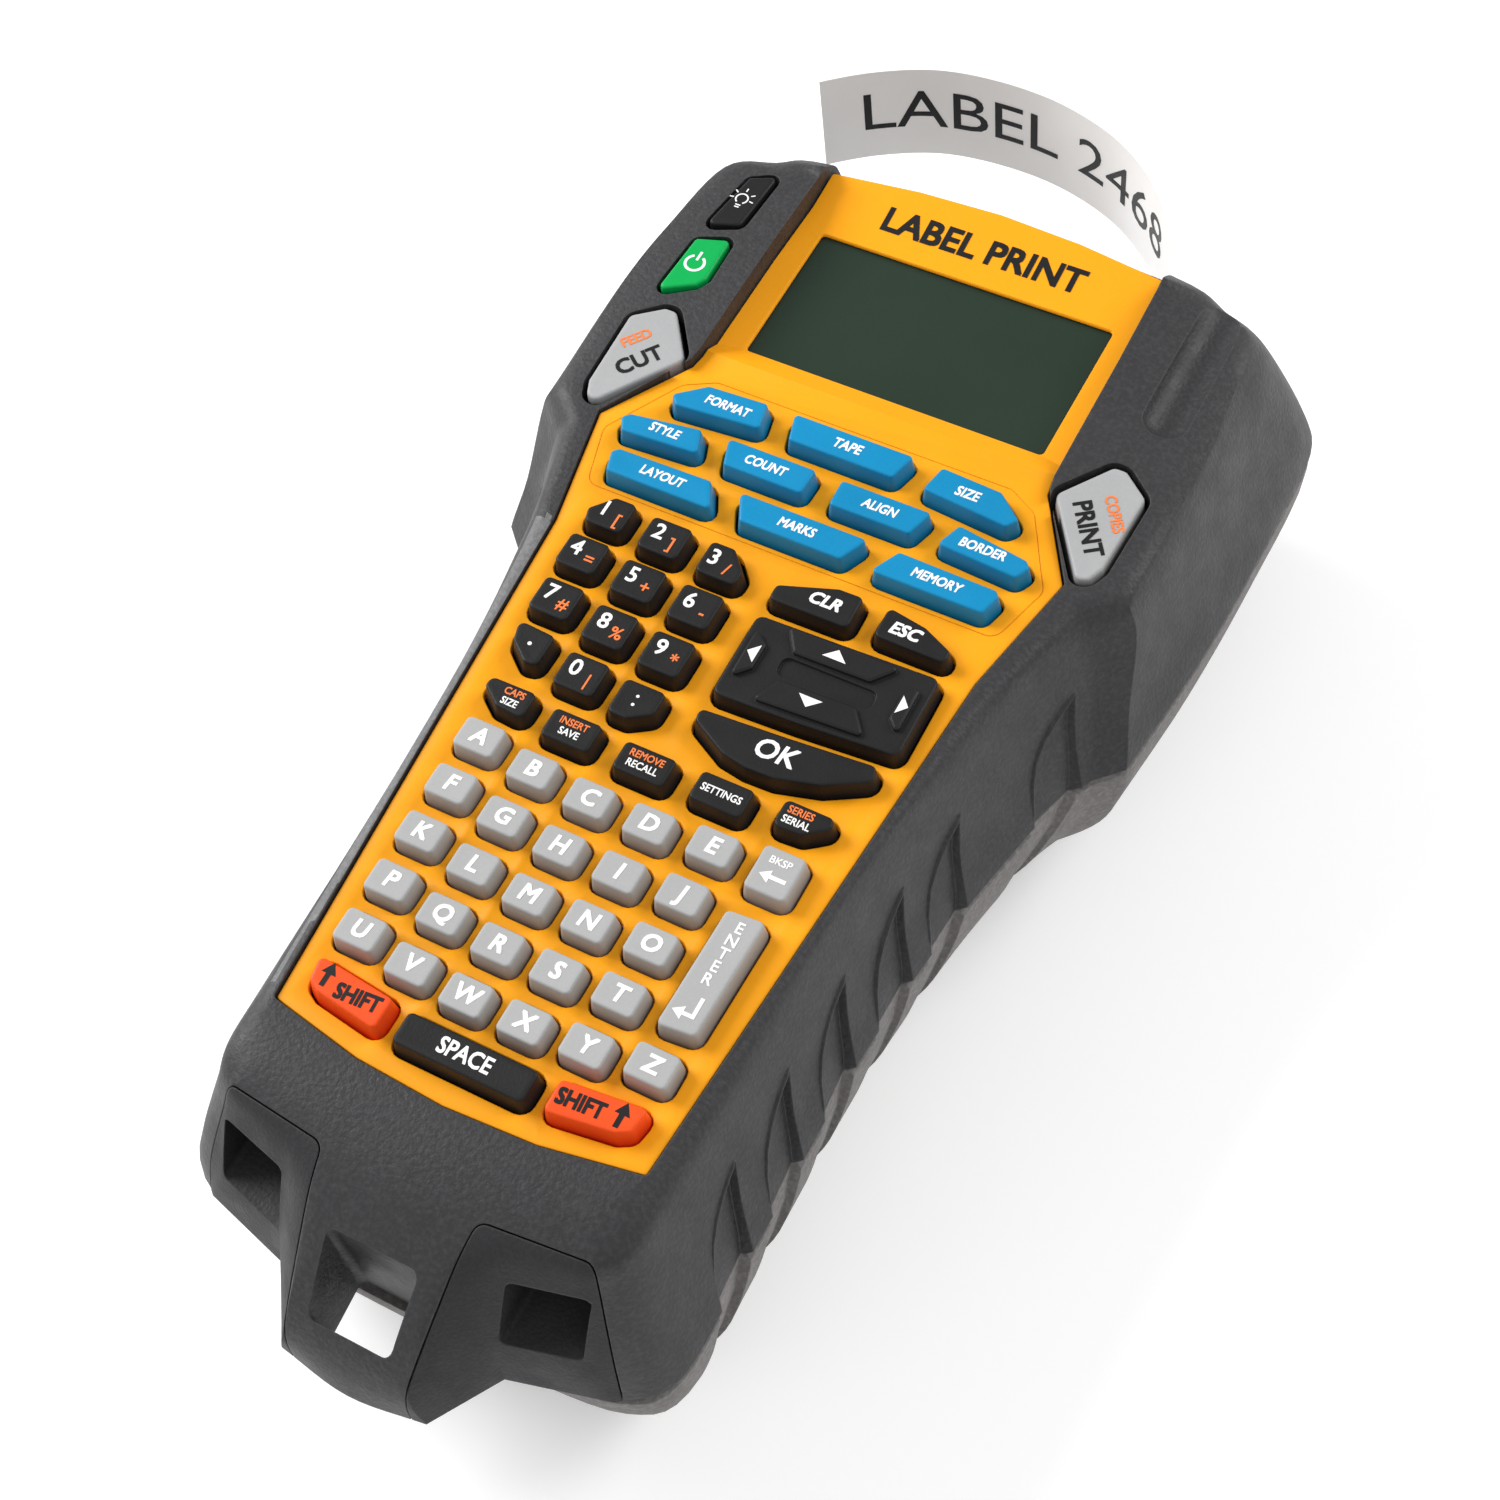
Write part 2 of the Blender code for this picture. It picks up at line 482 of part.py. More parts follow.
# ------------------------------------------------------------------- port parts
for name, zone, sign in (("port_bezel_left", BEZEL_L, -1), ("port_bezel_right", BEZEL_R, 1)):
    bezel = loft(name, [level(whole(half), z) for z, half in SHELL_RINGS])
    cut(bezel, name + "_zone", prism(zone, 30, 90), operation="INTERSECT")
    x0, x1 = sorted((sign * PORT[0], sign * PORT[1]))
    cut(bezel, name + "_recess", cuboid(x0, x1, -60, -20, PORT[2], PORT[3]))
    place(bezel, name, (0.05, 0.05, 0.052), 0.66, 0.0, None)

# -------------------------------------------------------------------- internals
board_half = [(0, -17.6), (17, -16.8), (33.4, -13.6), (41.6, 92), (46.6, 116), (36.4, 134.2), (0, 137.6)]
board = loft("keypad_board", prism(whole(board_half), 65.6, 67.2))
place(board, "keypad_board", (0.01, 0.12, 0.05), 0.45, 0.0, None)

main = loft("main_board", cuboid(-36.0, 36.0, -16.5, 92.0, 54.0, 55.6))
cut(main, "usb_socket", cuboid(-34.5, -25.0, -27.5, -10.0, 53.0, 60.5), operation="UNION")
cut(main, "usb_mouth", cuboid(-33.0, -26.5, -30.0, -19.0, 56.0, 58.8))
cut(main, "dc_socket", cuboid(25.5, 34.5, -27.5, -10.0, 53.0, 61.5), operation="UNION")
dc_mouth = disc(0, 0, 2.6, 12)
cut(main, "dc_mouth", [[(30.0 + a, -30.0, 57.3 + b) for a, b in dc_mouth],
                       [(30.0 + a, -18.0, 57.3 + b) for a, b in dc_mouth]])
cut(main, "processor", cuboid(-12, 6, 20, 38, 55.0, 57.2), operation="UNION")
place(main, "main_board", (0.01, 0.1, 0.05), 0.45, 0.0, None)

pack = loft("battery_pack", [level(offset([(-21, -11), (21, -11), (21, 68), (-21, 68)], d), z)
                             for z, d in ((2.6, -1.2), (4.0, 0), (27.0, 0), (28.4, -1.2))])
place(pack, "battery_pack", (0.05, 0.05, 0.06), 0.5, 0.0, None)

cassette = loft("tape_cassette", prism([(-40, 106), (22, 106), (28, 116), (31.5, 140), (31.5, 182),
                                        (-36, 182), (-40, 178)], 35.6, 61.2))
cut(cassette, "spools", prism(disc(-16, 146, 6.5, 16), 34, 44), prism(disc(14, 124, 4.0, 12), 34, 44))
place(cassette, "tape_cassette", (0.06, 0.06, 0.065), 0.5, 0.0, None)

head = loft("print_head", cuboid(33.0, 36.0, 168.0, 184.0, 38.4, 62.6))
place(head, "print_head", (0.55, 0.56, 0.58), 0.35, 0.8, None)


def gear(cx, cy, r, teeth):
    pts = []
    for i in range(teeth):
        a = 2 * pi * i / teeth
        w = 2 * pi / teeth
        for f, rr in ((0.0, r - 1.0), (0.28, r - 1.0), (0.4, r), (0.82, r)):
            pts.append((cx + rr * cos(a + f * w), cy + rr * sin(a + f * w)))
    return pts


roller = loft("platen_roller", [level(disc(*ROLLER_AT, 1.3, 16), 30.6),
                                level(disc(*ROLLER_AT, 1.3, 16), 38.0),
                                level(disc(*ROLLER_AT, ROLLER_R, 16), 38.4),
                                level(disc(*ROLLER_AT, ROLLER_R, 16), 63.4),
                                level(disc(*ROLLER_AT, 1.3, 16), 63.8),
                                level(disc(*ROLLER_AT, 1.3, 16), 64.1)])
cut(roller, "feed_gear", prism(gear(*ROLLER_AT, GEAR_R, 16), 31.4, 34.8), operation="UNION")
place(roller, "platen_roller", (0.03, 0.03, 0.032), 0.75, 0.0, (*ROLLER_AT, 48.0))

pinion = loft("motor_pinion", prism(gear(*PINION_AT, PINION_R, 8), 31.4, 34.8))
cut(pinion, "pinion_shaft", prism(disc(*PINION_AT, 1.0, 12), 30.0, 39.4), operation="UNION")
place(pinion, "motor_pinion", (0.7, 0.6, 0.35), 0.35, 0.9, (*PINION_AT, 33.0))

motor = loft("drive_motor", prism(disc(*PINION_AT, 8.0, 20), 37.6, 60.0))
cut(motor, "shaft_bore", prism(disc(*PINION_AT, 1.4, 12), 36.0, 40.0))
place(motor, "drive_motor", (0.6, 0.6, 0.62), 0.3, 0.9, None)

BLADE_Y = (188.6, 189.3)
blade_rings = []
for z, edge in ((39.5, 40.9), (63.6, 43.4)):
    blade_rings.append([(edge, BLADE_Y[0], z), (49.0, BLADE_Y[0], z), (49.0, BLADE_Y[1], z),
                        (edge + 0.3, BLADE_Y[1], z)])
blade = loft("cutter_blade", blade_rings)
place(blade, "cutter_blade", (0.62, 0.63, 0.65), 0.25, 1.0, (45.0, BLADE_Y[0], 51.0))

# ----------------------------------------------------------------------- tape
path = [(TAPE_X, TAPE_RUN[0]), (TAPE_X, TAPE_RUN[1])] + list(TAPE_CURL)
left_edge = []
right_edge = []
for i, (x, y) in enumerate(path):
    px, py = path[max(i - 1, 0)]
    nx, ny = path[min(i + 1, len(path) - 1)]
    d = hypot(nx - px, ny - py)
    tx, ty = (nx - px) / d, (ny - py) / d
    right_edge.append((x + ty * TAPE_THICK / 2, y - tx * TAPE_THICK / 2))
    left_edge.append((x - ty * TAPE_THICK / 2, y + tx * TAPE_THICK / 2))
ribbon = right_edge + list(reversed(left_edge))
tape = loft("label_tape", prism(ribbon, *TAPE_Z))
place(tape, "label_tape", (0.86, 0.85, 0.84), 0.4, 0.0, None)
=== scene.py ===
"""Looks of a handheld label maker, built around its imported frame."""
from math import atan2, cos, hypot, pi, radians, sin, tan

import bpy
import bmesh
from mathutils import Matrix, Vector


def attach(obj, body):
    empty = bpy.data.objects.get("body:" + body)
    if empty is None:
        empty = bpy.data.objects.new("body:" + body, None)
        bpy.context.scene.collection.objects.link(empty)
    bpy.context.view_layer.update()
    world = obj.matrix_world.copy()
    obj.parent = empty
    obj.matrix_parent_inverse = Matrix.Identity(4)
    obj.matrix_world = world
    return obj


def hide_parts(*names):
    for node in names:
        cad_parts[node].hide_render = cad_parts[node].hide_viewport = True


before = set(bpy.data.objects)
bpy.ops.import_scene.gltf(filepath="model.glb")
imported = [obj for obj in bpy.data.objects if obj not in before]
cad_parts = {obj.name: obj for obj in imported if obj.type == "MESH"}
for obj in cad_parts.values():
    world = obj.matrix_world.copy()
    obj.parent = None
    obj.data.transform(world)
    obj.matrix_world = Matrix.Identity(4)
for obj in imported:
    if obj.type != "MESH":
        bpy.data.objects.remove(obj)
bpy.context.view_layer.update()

UNIT = 0.00095    # metres per drawing unit; the object's own lengths are in drawing units
Y_MID = 87.65     # the drawing's y at the frame's origin
Z_SPLIT = 38.15   # parting line of the two housings
Z_RIM = 69.2      # lower edge of the display surround
Z_FACE = 72.5     # top of the faceplate
Z_SIDE = 74.0     # top of the print and cut keys
Z_SMALL = 74.6    # top of the backlight and power keys
Z_KEY = 76.0      # top of the keys on the faceplate
X_LIMIT = 73.45   # half width that the housings keep within
SMOOTH = 34.0     # default angle of a sharp edge, in degrees
MERGE = 2e-7      # metres, vertices closer than this are one


def at(x, y, z):
    return Vector((x * UNIT, (y - Y_MID) * UNIT, z * UNIT))


# ------------------------------------------------------------------ materials
class Nodes:
    """Small builder for one procedural material."""

    def __init__(self, name):
        self.mat = bpy.data.materials.new(name)
        self.mat.use_nodes = True
        self.tree = self.mat.node_tree
        self.bsdf = self.tree.nodes["Principled BSDF"]
        self.coord = self.tree.nodes.new("ShaderNodeTexCoord").outputs["Object"]

    def add(self, kind, **values):
        node = self.tree.nodes.new(kind)
        for key, value in values.items():
            if hasattr(node, key):
                setattr(node, key, value)
            else:
                node.inputs[key.replace("_", " ")].default_value = value
        return node

    def link(self, a, b):
        self.tree.links.new(a, b)

    def noise(self, scale, detail=3.0, rough=0.55):
        n = self.add("ShaderNodeTexNoise", Scale=scale, Detail=detail, Roughness=rough)
        self.link(self.coord, n.inputs["Vector"])
        return n.outputs["Fac"]

    def ramp(self, source, low, high, a, b):
        n = self.add("ShaderNodeMapRange")
        n.inputs["From Min"].default_value = low
        n.inputs["From Max"].default_value = high
        n.inputs["To Min"].default_value = a
        n.inputs["To Max"].default_value = b
        self.link(source, n.inputs["Value"])
        return n.outputs["Result"]

    def mix(self, factor, a, b):
        """Colour mix; sockets 6 and 7 of the node are its two colours, and output 2 is the result."""
        n = self.add("ShaderNodeMix", data_type="RGBA")
        for slot, value in ((6, a), (7, b)):
            if isinstance(value, tuple):
                n.inputs[slot].default_value = (*value, 1.0)
            else:
                self.link(value, n.inputs[slot])
        self.link(factor, n.inputs[0])
        return n.outputs[2]

    def height(self):
        n = self.add("ShaderNodeSeparateXYZ")
        self.link(self.coord, n.inputs[0])
        return n.outputs["Z"]

    def bump(self, source, strength, distance, onto=None):
        n = self.add("ShaderNodeBump", Strength=strength, Distance=distance)
        self.link(source, n.inputs["Height"])
        if onto is not None:
            self.link(onto, n.inputs["Normal"])
        return n.outputs["Normal"]


def shade(colour, k):
    return tuple(min(1.0, c * k) for c in colour)


def plastic(name, colour, rough=0.45, grain=0.25, grain_scale=1500.0, wear=0.12, metal=0.0,
            low=None, painted_shade_z=(69.0, 72.3), blotch=0.07, edge=0.0002, spec=0.22):
    """Moulded plastic: faint blotches, fine grain, rubbed edges and, with low, painted shade: a deeper
    colour low down.

    The colour changes to the painted shade between the two heights of painted_shade_z, full at the lower
    one; edge is the radius in metres that the bevel node rounds edges by, and 0 leaves that node and the
    rubbed edges out.
    """
    m = Nodes(name)
    base = m.mix(m.ramp(m.noise(38.0), 0.3, 0.7, 0.0, 1.0), shade(colour, 1 - blotch),
                 shade(colour, 1 + blotch))
    speck = m.ramp(m.noise(grain_scale, 2.0), 0.42, 0.72, 0.0, 1.0)
    base = m.mix(m.ramp(speck, 0, 1, 0.0, grain * 0.35), base, shade(colour, 2.2))
    if low is not None:
        # painted shade: below the top of painted_shade_z the colour turns towards low
        base = m.mix(m.ramp(m.height(), painted_shade_z[0] * UNIT, painted_shade_z[1] * UNIT, 1.0, 0.0), base, low)
    normal = None
    if edge:
        soft = m.add("ShaderNodeBevel", samples=4, Radius=edge)
        normal = soft.outputs[0]
        geo = m.add("ShaderNodeNewGeometry")
        dot = m.add("ShaderNodeVectorMath", operation="DOT_PRODUCT")
        m.link(normal, dot.inputs[0])
        m.link(geo.outputs["Normal"], dot.inputs[1])
        rub = m.ramp(dot.outputs["Value"], 0.80, 0.99, wear, 0.0)
        base = m.mix(rub, base, tuple(c * 0.55 + 0.28 for c in colour))
    m.link(base, m.bsdf.inputs["Base Color"])
    m.link(m.ramp(m.noise(160.0, 4.0), 0.3, 0.7, rough * 0.88, min(1.0, rough * 1.14)),
           m.bsdf.inputs["Roughness"])
    m.link(m.bump(m.noise(grain_scale, 2.0), min(grain, 0.8), 0.00018, normal), m.bsdf.inputs["Normal"])
    m.bsdf.inputs["Metallic"].default_value = metal
    m.bsdf.inputs["Specular IOR Level"].default_value = spec
    return m.mat


YELLOW = (0.93, 0.365, 0.006)
GREY = (0.385, 0.39, 0.385)
BLUE = (0.003, 0.235, 0.47)
BLACK = (0.012, 0.012, 0.0125)
MAT = {
    # painted shade: the faceplate turns a deep red-orange below its top, down its key-hole walls and edges
    "yellow": plastic("face_yellow", YELLOW, 0.42, 0.05, 900, 0.0, low=(1.0, 0.12, 0.004),
                      painted_shade_z=(69.0, 72.4), blotch=0.02),
    "yellow_bed": plastic("bed_yellow", YELLOW, 0.42, 0.05, 900, 0.0, blotch=0.02),
    "shell": plastic("shell_dark", (0.026, 0.026, 0.028), 0.52, 1.3, 1150, 0.16, edge=0.0004, spec=0.36),
    "seam": plastic("seam_shadow", (0.006, 0.006, 0.006), 0.7, 0.3, 1500, 0.0, edge=0.0),
    # painted highlight: a lighter grey standing in for light caught by the shell's left rim
    "rim": plastic("rim_painted_highlight", (0.115, 0.115, 0.118), 0.5, 1.0, 1200, 0.1, edge=0.0002, spec=0.4),
    "bezel": plastic("bezel_dark", (0.022, 0.022, 0.024), 0.58, 0.7, 1500, 0.12, edge=0.0004, spec=0.28),
    "rear": plastic("rear_grey", (0.15, 0.142, 0.138), 0.68, 1.1, 1000, 0.08, edge=0.0004),
    # painted shade: the grey, satin, blue and orange keys darken down their sides towards the foot
    "grey": plastic("key_grey", GREY, 0.5, 0.10, 1800, 0.10, low=(0.17, 0.14, 0.11),
                    painted_shade_z=(69.5, 76.0), blotch=0.03),
    "steel_grey": plastic("key_satin", (0.39, 0.395, 0.40), 0.42, 0.12, 1800, 0.08,
                          low=(0.20, 0.19, 0.18), painted_shade_z=(69.5, 74.5), blotch=0.03),
    "blue": plastic("key_blue", BLUE, 0.42, 0.12, 1800, 0.06, low=(0.003, 0.12, 0.27), painted_shade_z=(69.5, 76.2)),
    "black": plastic("key_black", BLACK, 0.46, 0.22, 1900, 0.05),
    "orange": plastic("key_orange", (0.93, 0.085, 0.012), 0.42, 0.1, 1800, 0.05,
                      low=(0.60, 0.025, 0.003), painted_shade_z=(69.5, 76.5)),
    "green": plastic("key_green", (0.0, 0.37, 0.075), 0.4, 0.1, 1800, 0.04),
    "board": plastic("board_green", (0.008, 0.09, 0.035), 0.4, 0.15, 700, 0.05),
    "motor": plastic("motor_steel", (0.55, 0.55, 0.57), 0.3, 0.1, 900, 0.1, metal=1.0),
    "brass": plastic("gear_brass", (0.66, 0.5, 0.2), 0.34, 0.1, 900, 0.1, metal=1.0),
    "blade": plastic("blade_steel", (0.6, 0.61, 0.63), 0.22, 0.08, 1200, 0.1, metal=1.0),
    "rubber": plastic("roller_rubber", (0.02, 0.02, 0.021), 0.8, 0.4, 900, 0.03),
    "cell": plastic("cell_wrap", (0.03, 0.035, 0.05), 0.4, 0.15, 700, 0.08),
    "cartridge": plastic("cartridge_black", (0.02, 0.02, 0.022), 0.5, 0.4, 1300, 0.08),
    "white_ink": plastic("ink_white", (0.86, 0.86, 0.85), 0.5, 0.06, 2200, 0.0, blotch=0.03, edge=0.0),
    "orange_ink": plastic("ink_orange", (0.86, 0.21, 0.055), 0.5, 0.06, 2200, 0.0, blotch=0.04, edge=0.0),
    "black_ink": plastic("ink_black", (0.012, 0.012, 0.013), 0.45, 0.06, 2200, 0.0, edge=0.0),
}


def glass_material():
    """Dark display: a faint pixel raster under a satin pane."""
    m = Nodes("display_glass")
    dots = m.add("ShaderNodeTexVoronoi", distance="CHEBYCHEV", Scale=2100.0, Randomness=0.0)
    m.link(m.coord, dots.inputs["Vector"])
    tone = m.mix(m.ramp(dots.outputs["Distance"], 0.2, 0.5, 0.0, 0.25), (0.022, 0.038, 0.026),
                 (0.014, 0.024, 0.017))
    tone = m.mix(m.ramp(m.noise(22.0), 0.35, 0.65, 0.0, 0.3), tone, (0.03, 0.048, 0.034))
    m.link(tone, m.bsdf.inputs["Base Color"])
    m.link(m.ramp(m.noise(240.0), 0.3, 0.7, 0.22, 0.3), m.bsdf.inputs["Roughness"])
    m.bsdf.inputs["Specular IOR Level"].default_value = 0.14
    return m.mat


def paper_material():
    """Laminated label stock: faint mottling under a smooth film."""
    m = Nodes("label_stock")
    tone = m.mix(m.ramp(m.noise(46.0), 0.3, 0.7, 0, 1), (0.89, 0.87, 0.855), (0.93, 0.915, 0.90))
    m.link(tone, m.bsdf.inputs["Base Color"])
    m.link(m.ramp(m.noise(300.0), 0.3, 0.7, 0.34, 0.5), m.bsdf.inputs["Roughness"])
    m.link(m.bump(m.noise(900.0), 0.08, 0.0001), m.bsdf.inputs["Normal"])
    return m.mat


MAT["glass"] = glass_material()
MAT["paper"] = paper_material()


# ------------------------------------------------------------------- geometry
def mesh_piece(name, verts, faces, angle=SMOOTH):
    me = bpy.data.meshes.new(name)
    me.from_pydata([at(*v) for v in verts], [], faces)
    bm = bmesh.new()
    bm.from_mesh(me)
    bmesh.ops.remove_doubles(bm, verts=bm.verts, dist=MERGE)
    bmesh.ops.recalc_face_normals(bm, faces=bm.faces)
    bm.to_mesh(me)
    bm.free()
    ob = bpy.data.objects.new(name, me)
    bpy.context.scene.collection.objects.link(ob)
    smooth(ob, angle)
    return ob


def smooth(ob, angle=SMOOTH):
    me = ob.data
    me.polygons.foreach_set("use_smooth", [True] * len(me.polygons))
    me.set_sharp_from_angle(angle=radians(angle))


def finish(ob, material, body, replaces=()):
    ob.data.materials.clear()
    ob.data.materials.append(MAT[material])
    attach(ob, body)
    if replaces:
        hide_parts(*replaces)
    return ob


def ring_faces(rings, verts, faces):
    base = len(verts)
    n = len(rings[0])
    for ring in rings:
        verts.extend(ring)
    for k in range(len(rings) - 1):
        a = base + k * n
        for i in range(n):
            j = (i + 1) % n
            faces.append((a + i, a + j, a + n + j, a + n + i))
    faces.append(tuple(base + i for i in reversed(range(n))))
    faces.append(tuple(base + (len(rings) - 1) * n + i for i in range(n)))


def lofted(name, *ring_sets, angle=SMOOTH):
    """Closed shells, one for each stack of rings with equal point counts."""
    verts = []
    faces = []
    for rings in ring_sets:
        ring_faces(rings, verts, faces)
    return mesh_piece(name, verts, faces, angle)


def level(pts, z):
    return [(x, y, z) for x, y in pts]


def prism(pts, z0, z1):
    return [level(pts, z0), level(pts, z1)]


def box_pts(x0, x1, y0, y1):
    return [(x0, y0), (x1, y0), (x1, y1), (x0, y1)]


def cuboid(x0, x1, y0, y1, z0, z1):
    return prism(box_pts(x0, x1, y0, y1), z0, z1)


def flip(pts):
    return [(-x, y) for x, y in reversed(pts)]


def rounded(poly, r, d=0.0, seg=4):
    """Outline parallel to a counter-clockwise polygon with filleted corners, d outwards."""
    out = []
    n = len(poly)
    for i in range(n):
        p, q, s = Vector(poly[i - 1]), Vector(poly[i]), Vector(poly[(i + 1) % n])
        e1 = (q - p).normalized()
        e2 = (s - q).normalized()
        n1 = Vector((e1.y, -e1.x))
        n2 = Vector((e2.y, -e2.x))
        turn = atan2(e1.x * e2.y - e1.y * e2.x, e1.dot(e2))
        half = max(abs(tan(turn / 2)), 1e-4)
        t = min(r * half, 0.46 * (q - p).length, 0.46 * (s - q).length)
        rad = t / half
        sign = 1.0 if turn >= 0 else -1.0
        c = q - e1 * t - n1 * rad * sign
        a1 = atan2(n1.y, n1.x)
        reach = sign * rad + d
        for k in range(seg + 1):
            a = a1 + turn * k / seg
            if sign * reach > 0:
                out.append((c.x + reach * cos(a), c.y + reach * sin(a)))
            else:
                # the fillet has shrunk to a point: its vertices stay a hair apart
                mid = a1 + turn / 2
                apart = 0.001 * (k - seg / 2)
                spread = reach / cos(turn / 2) + apart
                out.append((c.x + spread * cos(mid) - apart * sin(mid) * sign,
                            c.y + spread * sin(mid) + apart * cos(mid) * sign))
    return out


def stack(pts, r, steps, seg=4):
    """Rings of one filleted outline, one for each (height, outward offset) of steps."""
    return [level(rounded(pts, r, d, seg), z) for z, d in steps]


def carve(ob, *cutters, operation="DIFFERENCE", angle=SMOOTH):
    """Boolean with each cutter in turn, then a clean copy of the result."""
    for number, tool in enumerate(cutters):
        mod = ob.modifiers.new("cut%d" % number, "BOOLEAN")
        mod.operation = operation
        mod.solver = "EXACT"
        mod.object = tool
    graph = bpy.context.evaluated_depsgraph_get()
    graph.update()
    me = bpy.data.meshes.new_from_object(ob.evaluated_get(graph))
    old = ob.data
    ob.modifiers.clear()
    ob.data = me
    bpy.data.meshes.remove(old)
    for tool in cutters:
        bpy.data.objects.remove(tool, do_unlink=True)
    smooth(ob, angle)
    return ob


def catmull(a, b, c, d, t):
    """Point at t between b and c of the smooth curve through a, b, c and d."""
    return tuple(0.5 * (2 * q + (r - p) * t + (2 * p - 5 * q + 4 * r - s) * t * t
                        + (3 * q - p - 3 * r + s) * t ** 3) for p, q, r, s in zip(a, b, c, d))


def mirrored(point):
    return (-point[0],) + tuple(point[1:])


def beyond(b, c):
    """Point as far before b as c lies after it, which keeps a corner at b."""
    return tuple(2 * u - v for u, v in zip(b, c))


def spline(pts, sharp, n):
    """Curve through pts with corners at the sharp indices; both ends lie on the mirror plane."""
    out = []
    last = len(pts) - 1
    for i in range(last):
        b, c = pts[i], pts[i + 1]
        if i == 0:
            a = mirrored(pts[1])
        else:
            a = beyond(b, c) if i in sharp else pts[i - 1]
        if i + 1 == last:
            d = mirrored(pts[last - 1])
        else:
            d = beyond(c, b) if i + 1 in sharp else pts[i + 2]
        for k in range(n):
            out.append(catmull(a, b, c, d, k / n))
    out.append(pts[last])
    return out


def whole(half):
    """Closed outline from its right half, whose ends lie on the mirror plane."""
    return [tuple(p) for p in half] + [mirrored(p) for p in reversed(half[1:-1])]


# --------------------------------------------------------------- front shell
# Right half of the shell's outline at rising heights, from the hook to the head.
SHELL_RINGS = (
    (Z_SPLIT, ((0, -64.5), (15, -62.5), (23, -49.8), (42, -44.8), (50.2, -36), (50.6, -10),
               (51, 30), (54, 60), (58, 82), (60.5, 92), (64.5, 101), (69.5, 106), (72.5, 135),
               (73.5, 165), (73, 191), (66, 200), (48, 205), (0, 208))),
    (50.0, ((0, -61), (12.5, -60.5), (22.5, -47.2), (37.6, -43.3), (46.5, -35.5), (47, -12),
            (47.6, 30), (50, 60), (54, 83), (56.5, 94.5), (61.5, 106.5), (67, 112), (69.2, 142),
            (69.8, 167), (69.2, 191), (61, 198.8), (45, 203), (0, 205.5))),
    (64.0, ((0, -47), (13.3, -46.5), (22, -40.2), (36.4, -36.7), (42.3, -30.5), (43.3, -14),
            (44.6, 30), (46.8, 60), (50.6, 84), (53, 97), (58.5, 112), (65, 118.5), (65.6, 150),
            (65.2, 170), (63.4, 189.5), (54, 195.6), (41, 199.4), (0, 202))),
    (70.5, ((0, -37.5), (15.5, -36.2), (23, -35), (35.5, -33), (40.5, -27.5), (41.5, -14),
            (43, 30), (45.2, 60), (49, 86), (51.5, 98), (56, 113.5), (62.8, 120), (63.4, 150),
            (62.4, 169), (59.6, 188), (50, 193.6), (39.5, 197.3), (0, 199.4))),
    (73.0, ((0, -27), (14, -26.6), (22, -26), (33, -24.8), (37.4, -22), (38.6, -14),
            (41.6, 30), (43.8, 60), (46.6, 87), (49.3, 98), (53.5, 115), (59.5, 121.5), (60, 150),
            (58.9, 168), (56, 186), (47.8, 190.8), (38.6, 195.2), (0, 197.4))),
)
# Inner edge of the shell's rim round the faceplate, and its heights.
CREST = ((0, -19.4), (8, -19.2), (14, -18.8), (26, -17.6), (34.6, -15.2), (35.6, -10),
         (38.4, 30), (40.6, 60), (42.4, 86), (43.4, 96), (46.0, 109), (47.6, 117.4), (37.2, 140),
         (36.9, 165), (36.6, 184), (36.5, 189), (36.3, 193), (0, 194))
CREST_Z = (73.1,) * 12 + (74.8,) + (75.2,) * 4 + (73.8,)
CORNERS = {1, 2, 3, 10, 11}


def column_rings(levels, steps):
    """Rings between levels of equal point count, each column following a smooth curve."""
    rings = []
    for k in range(len(levels) - 1):
        lo = levels[max(k - 1, 0)]
        hi = levels[min(k + 2, len(levels) - 1)]
        for s in range(steps[k]):
            rings.append([catmull(a, b, c, d, s / steps[k])
                          for a, b, c, d in zip(lo, levels[k], levels[k + 1], hi)])
    rings.append(list(levels[-1]))
    return [[(max(-X_LIMIT, min(X_LIMIT, x)), y, z) for x, y, z in ring] for ring in rings]


def shell_levels():
    """Rings of the whole shell, drawn in a little at its foot for the parting-line groove."""
    levels = []
    for z, half in SHELL_RINGS:
        ring = whole(spline([(x, y, z) for x, y in half], CORNERS, 6))
        if not levels:
            levels.append([(x * 0.976, 80 + (y - 80) * 0.991, z) for x, y, _ in ring])
            ring = [(x, y, z + 1.0) for x, y, _ in ring]
        levels.append(ring)
    crest = [(x, y, z) for (x, y), z in zip(CREST, CREST_Z)]
    levels.append(whole(spline(crest, CORNERS, 6)))
    return column_rings(levels, (1, 5, 5, 4, 3, 4))


PLATE = ((0, -20.8), (18, -19.8), (37, -16.4), (44.5, 92.4), (49.8, 118.6), (38.6, 136.4),
         (38.1, 139.6), (37.9, 170), (37.3, 195), (18, 197.2), (0, 198))
PRINT = [(40.4, 136.3), (51.7, 120.3), (53.8, 121.0), (55.1, 124.2), (55.8, 142.0),
         (50.2, 146.4), (47.8, 146.4)]
LIGHT = [(-53.2, 169.8), (-46.8, 172.0), (-45.9, 186.6), (-51.0, 184.2)]
POWER = [(-54.0, 150.2), (-47.4, 154.2), (-46.3, 156.2), (-46.6, 167.2), (-53.2, 165.0)]
PORT = (22.4, 36.9, 50.4, 63.6)   # a port recess: inner and outer x, bottom and top
HOOK_HOLE = [(-8.3, -58.4), (8.3, -58.4), (9.2, -45.6), (-9.2, -45.6)]
BEZEL = [(15.6, -35.2), (11.4, -71), (57, -71), (43.4, -44.6), (36.1, -33.0)]
# name, outline, material, corner radius, corner radius of its hole, top
SIDE_KEYS = (("key_print", PRINT, "steel_grey", 1.5, 1.9, Z_SIDE),
             ("key_cut", flip(PRINT), "steel_grey", 1.5, 1.9, Z_SIDE),
             ("key_light", LIGHT, "black", 0.8, 1.0, Z_SMALL),
             ("key_power", POWER, "green", 0.8, 1.0, Z_SMALL))

